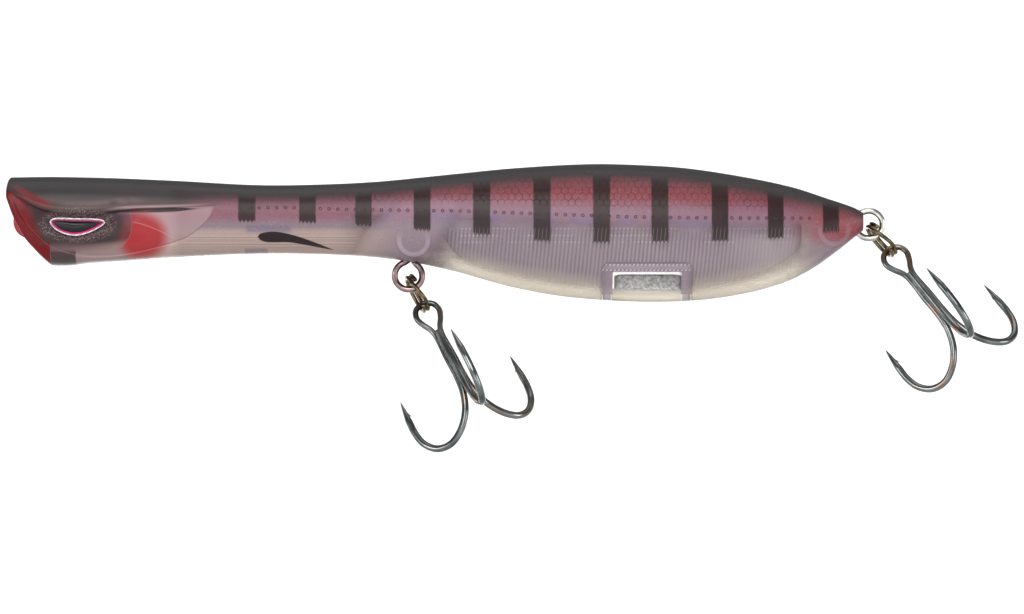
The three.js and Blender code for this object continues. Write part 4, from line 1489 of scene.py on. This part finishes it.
class POPPER_OT_trebles(bpy.types.Operator):
    """Make the two treble hooks: a bent pair, a third hook brazed to it, and the braze between"""
    bl_idname = "popper.trebles"
    bl_label = "Treble hooks"
    bl_options = {"REGISTER", "UNDO"}

    def execute(self, context):
        wire = context.scene.popper_wire
        steel = metal_finish(
            "black_nickel", tone(148, 151, 150), tone(92, 98, 99), 0.1, 0.3, tone(150, 128, 114)
        )
        braze = metal_finish("brazing", tone(160, 158, 156), tone(96, 94, 92), 0.3, 1.2)
        down, across = np.array(EYE_LINE).T
        eye = [
            np.column_stack([np.full(len(down), EYE_SETBACK), side * across, -down])
            for side in (1, -1)
        ]
        arms = [hook_points([*HOOK_LINE, HOOK_TIP], azimuth) for azimuth in (120, 240)]
        top = [[EYE_SETBACK, 0, -EYE_TOP]]
        pair = np.concatenate([arms[0][::-1], eye[0], top, eye[1][::-1], arms[1]])
        double = joined([
            hook_wire(pair, 2, (1, 0, 0), wire.hook / MM, wire.sides),
            hook_barb(120), hook_barb(240),
        ])
        third = hook_points([*HOOK_LINE, HOOK_TIP], 0)
        single = joined([
            hook_wire(third, 1, (0, 1, 0), wire.hook / MM, wire.sides), hook_barb(0),
        ])
        t = np.linspace(0, 1, 40)
        core = np.column_stack([0 * t, 0 * t, -BRAZE_TOP - BRAZE_LENGTH * t])
        swell = BRAZE_RADIUS * np.clip(np.sin(np.pi * t), 0, 1) ** 0.25 + 0.025 * np.sin(40 * t)
        fillet = swept(core, np.maximum(swell, 0.02), (1, 0, 0), 24)
        for name, (hanger, sweep, give_up) in CHAINS.items():
            place = hook_place(HANGERS[hanger], sweep, give_up)
            body = f"{name}_hook"
            for suffix, (points, faces), finish, replaced in (
                ("hook_pair", double, steel, [f"{name}_treble_double"]),
                ("hook_third", single, steel, [f"{name}_treble_single"]),
                ("hook_braze", fillet, braze, []),
            ):
                points = place_points(points, place)
                mesh_piece(f"{name}_{suffix}", points, faces, body, finish, replaced)
        return {"FINISHED"}


class POPPER_OT_stage(bpy.types.Operator):
    """Make the pale floor, the soft lights, the pale world and the camera"""
    bl_idname = "popper.stage"
    bl_label = "Stage"
    bl_options = {"REGISTER", "UNDO"}

    def execute(self, context):
        scene = context.scene
        floor_z = CAD_BOX[0][2] - FLOOR_DROP
        points, faces = bowl(BOWL_RADIUS, BOWL_HEIGHT)
        mesh = bpy.data.meshes.new("floor")
        mesh.from_pydata((points + [STAGE_MIDDLE, 0, floor_z]).tolist(), [], faces)
        weld(mesh)
        mesh.materials.append(floor_finish())
        mesh.polygons.foreach_set("use_smooth", np.ones(len(mesh.polygons), bool))
        floor = bpy.data.objects.new("floor", mesh)
        scene.collection.objects.link(floor)

        for name, place, facing, size, watts in LIGHTS:
            light = bpy.data.lights.new(name, "AREA")
            light.shape, light.size, light.energy = "DISK", size, watts
            lamp = bpy.data.objects.new(name, light)
            lamp.location = place
            way = Vector(facing) - Vector(place)
            lamp.rotation_euler = way.to_track_quat("-Z", "Y").to_euler()
            scene.collection.objects.link(lamp)

        world = bpy.data.worlds.new("pale_room")
        world.use_nodes = True
        world.node_tree.nodes["Background"].inputs["Color"].default_value = (1, 1, 1, 1)
        world.node_tree.nodes["Background"].inputs["Strength"].default_value = 0.25
        scene.world = world
        scene.view_settings.view_transform = "Standard"

        stage = scene.popper_stage
        camera = bpy.data.cameras.new("camera")
        camera.lens, camera.sensor_width = stage.lens, SENSOR_WIDTH
        camera.clip_start, camera.clip_end = 0.05, 20
        eye = bpy.data.objects.new("camera", camera)
        eye.location = (CAMERA_X, -stage.view_width * stage.lens / SENSOR_WIDTH, CAMERA_Z)
        eye.rotation_euler = (np.pi / 2, 0, 0)
        scene.collection.objects.link(eye)
        scene.camera = eye
        return {"FINISHED"}


STEPS = (
    POPPER_OT_shells, POPPER_OT_pocket, POPPER_OT_eyes, POPPER_OT_hangers, POPPER_OT_rings,
    POPPER_OT_trebles, POPPER_OT_stage,
)


class POPPER_PT_panel(bpy.types.Panel):
    """Lists the popper's settings and steps in the sidebar"""
    bl_label = "Popper"
    bl_idname = "POPPER_PT_panel"
    bl_space_type = "VIEW_3D"
    bl_region_type = "UI"
    bl_category = "Popper"

    def draw(self, context):
        for group in SETTINGS:
            box = self.layout.box()
            settings = getattr(context.scene, group)
            for key in settings.__annotations__:
                box.prop(settings, key)
        for step in STEPS:
            self.layout.operator(step.bl_idname)


SETTINGS = {
    "popper_paint": PopperPaint,
    "popper_body": PopperBody,
    "popper_wire": PopperWire,
    "popper_stage": PopperStage,
}


def register():
    for kind in (*SETTINGS.values(), *STEPS, POPPER_PT_panel):
        bpy.utils.register_class(kind)
    for name, kind in SETTINGS.items():
        setattr(bpy.types.Scene, name, PointerProperty(type=kind))


def unregister():
    for name in SETTINGS:
        delattr(bpy.types.Scene, name)
    for kind in reversed((*SETTINGS.values(), *STEPS, POPPER_PT_panel)):
        bpy.utils.unregister_class(kind)


def main():
    register()
    for step in STEPS:
        group, name = step.bl_idname.split(".")
        getattr(getattr(bpy.ops, group), name)()


if __name__ == "__main__":
    main()
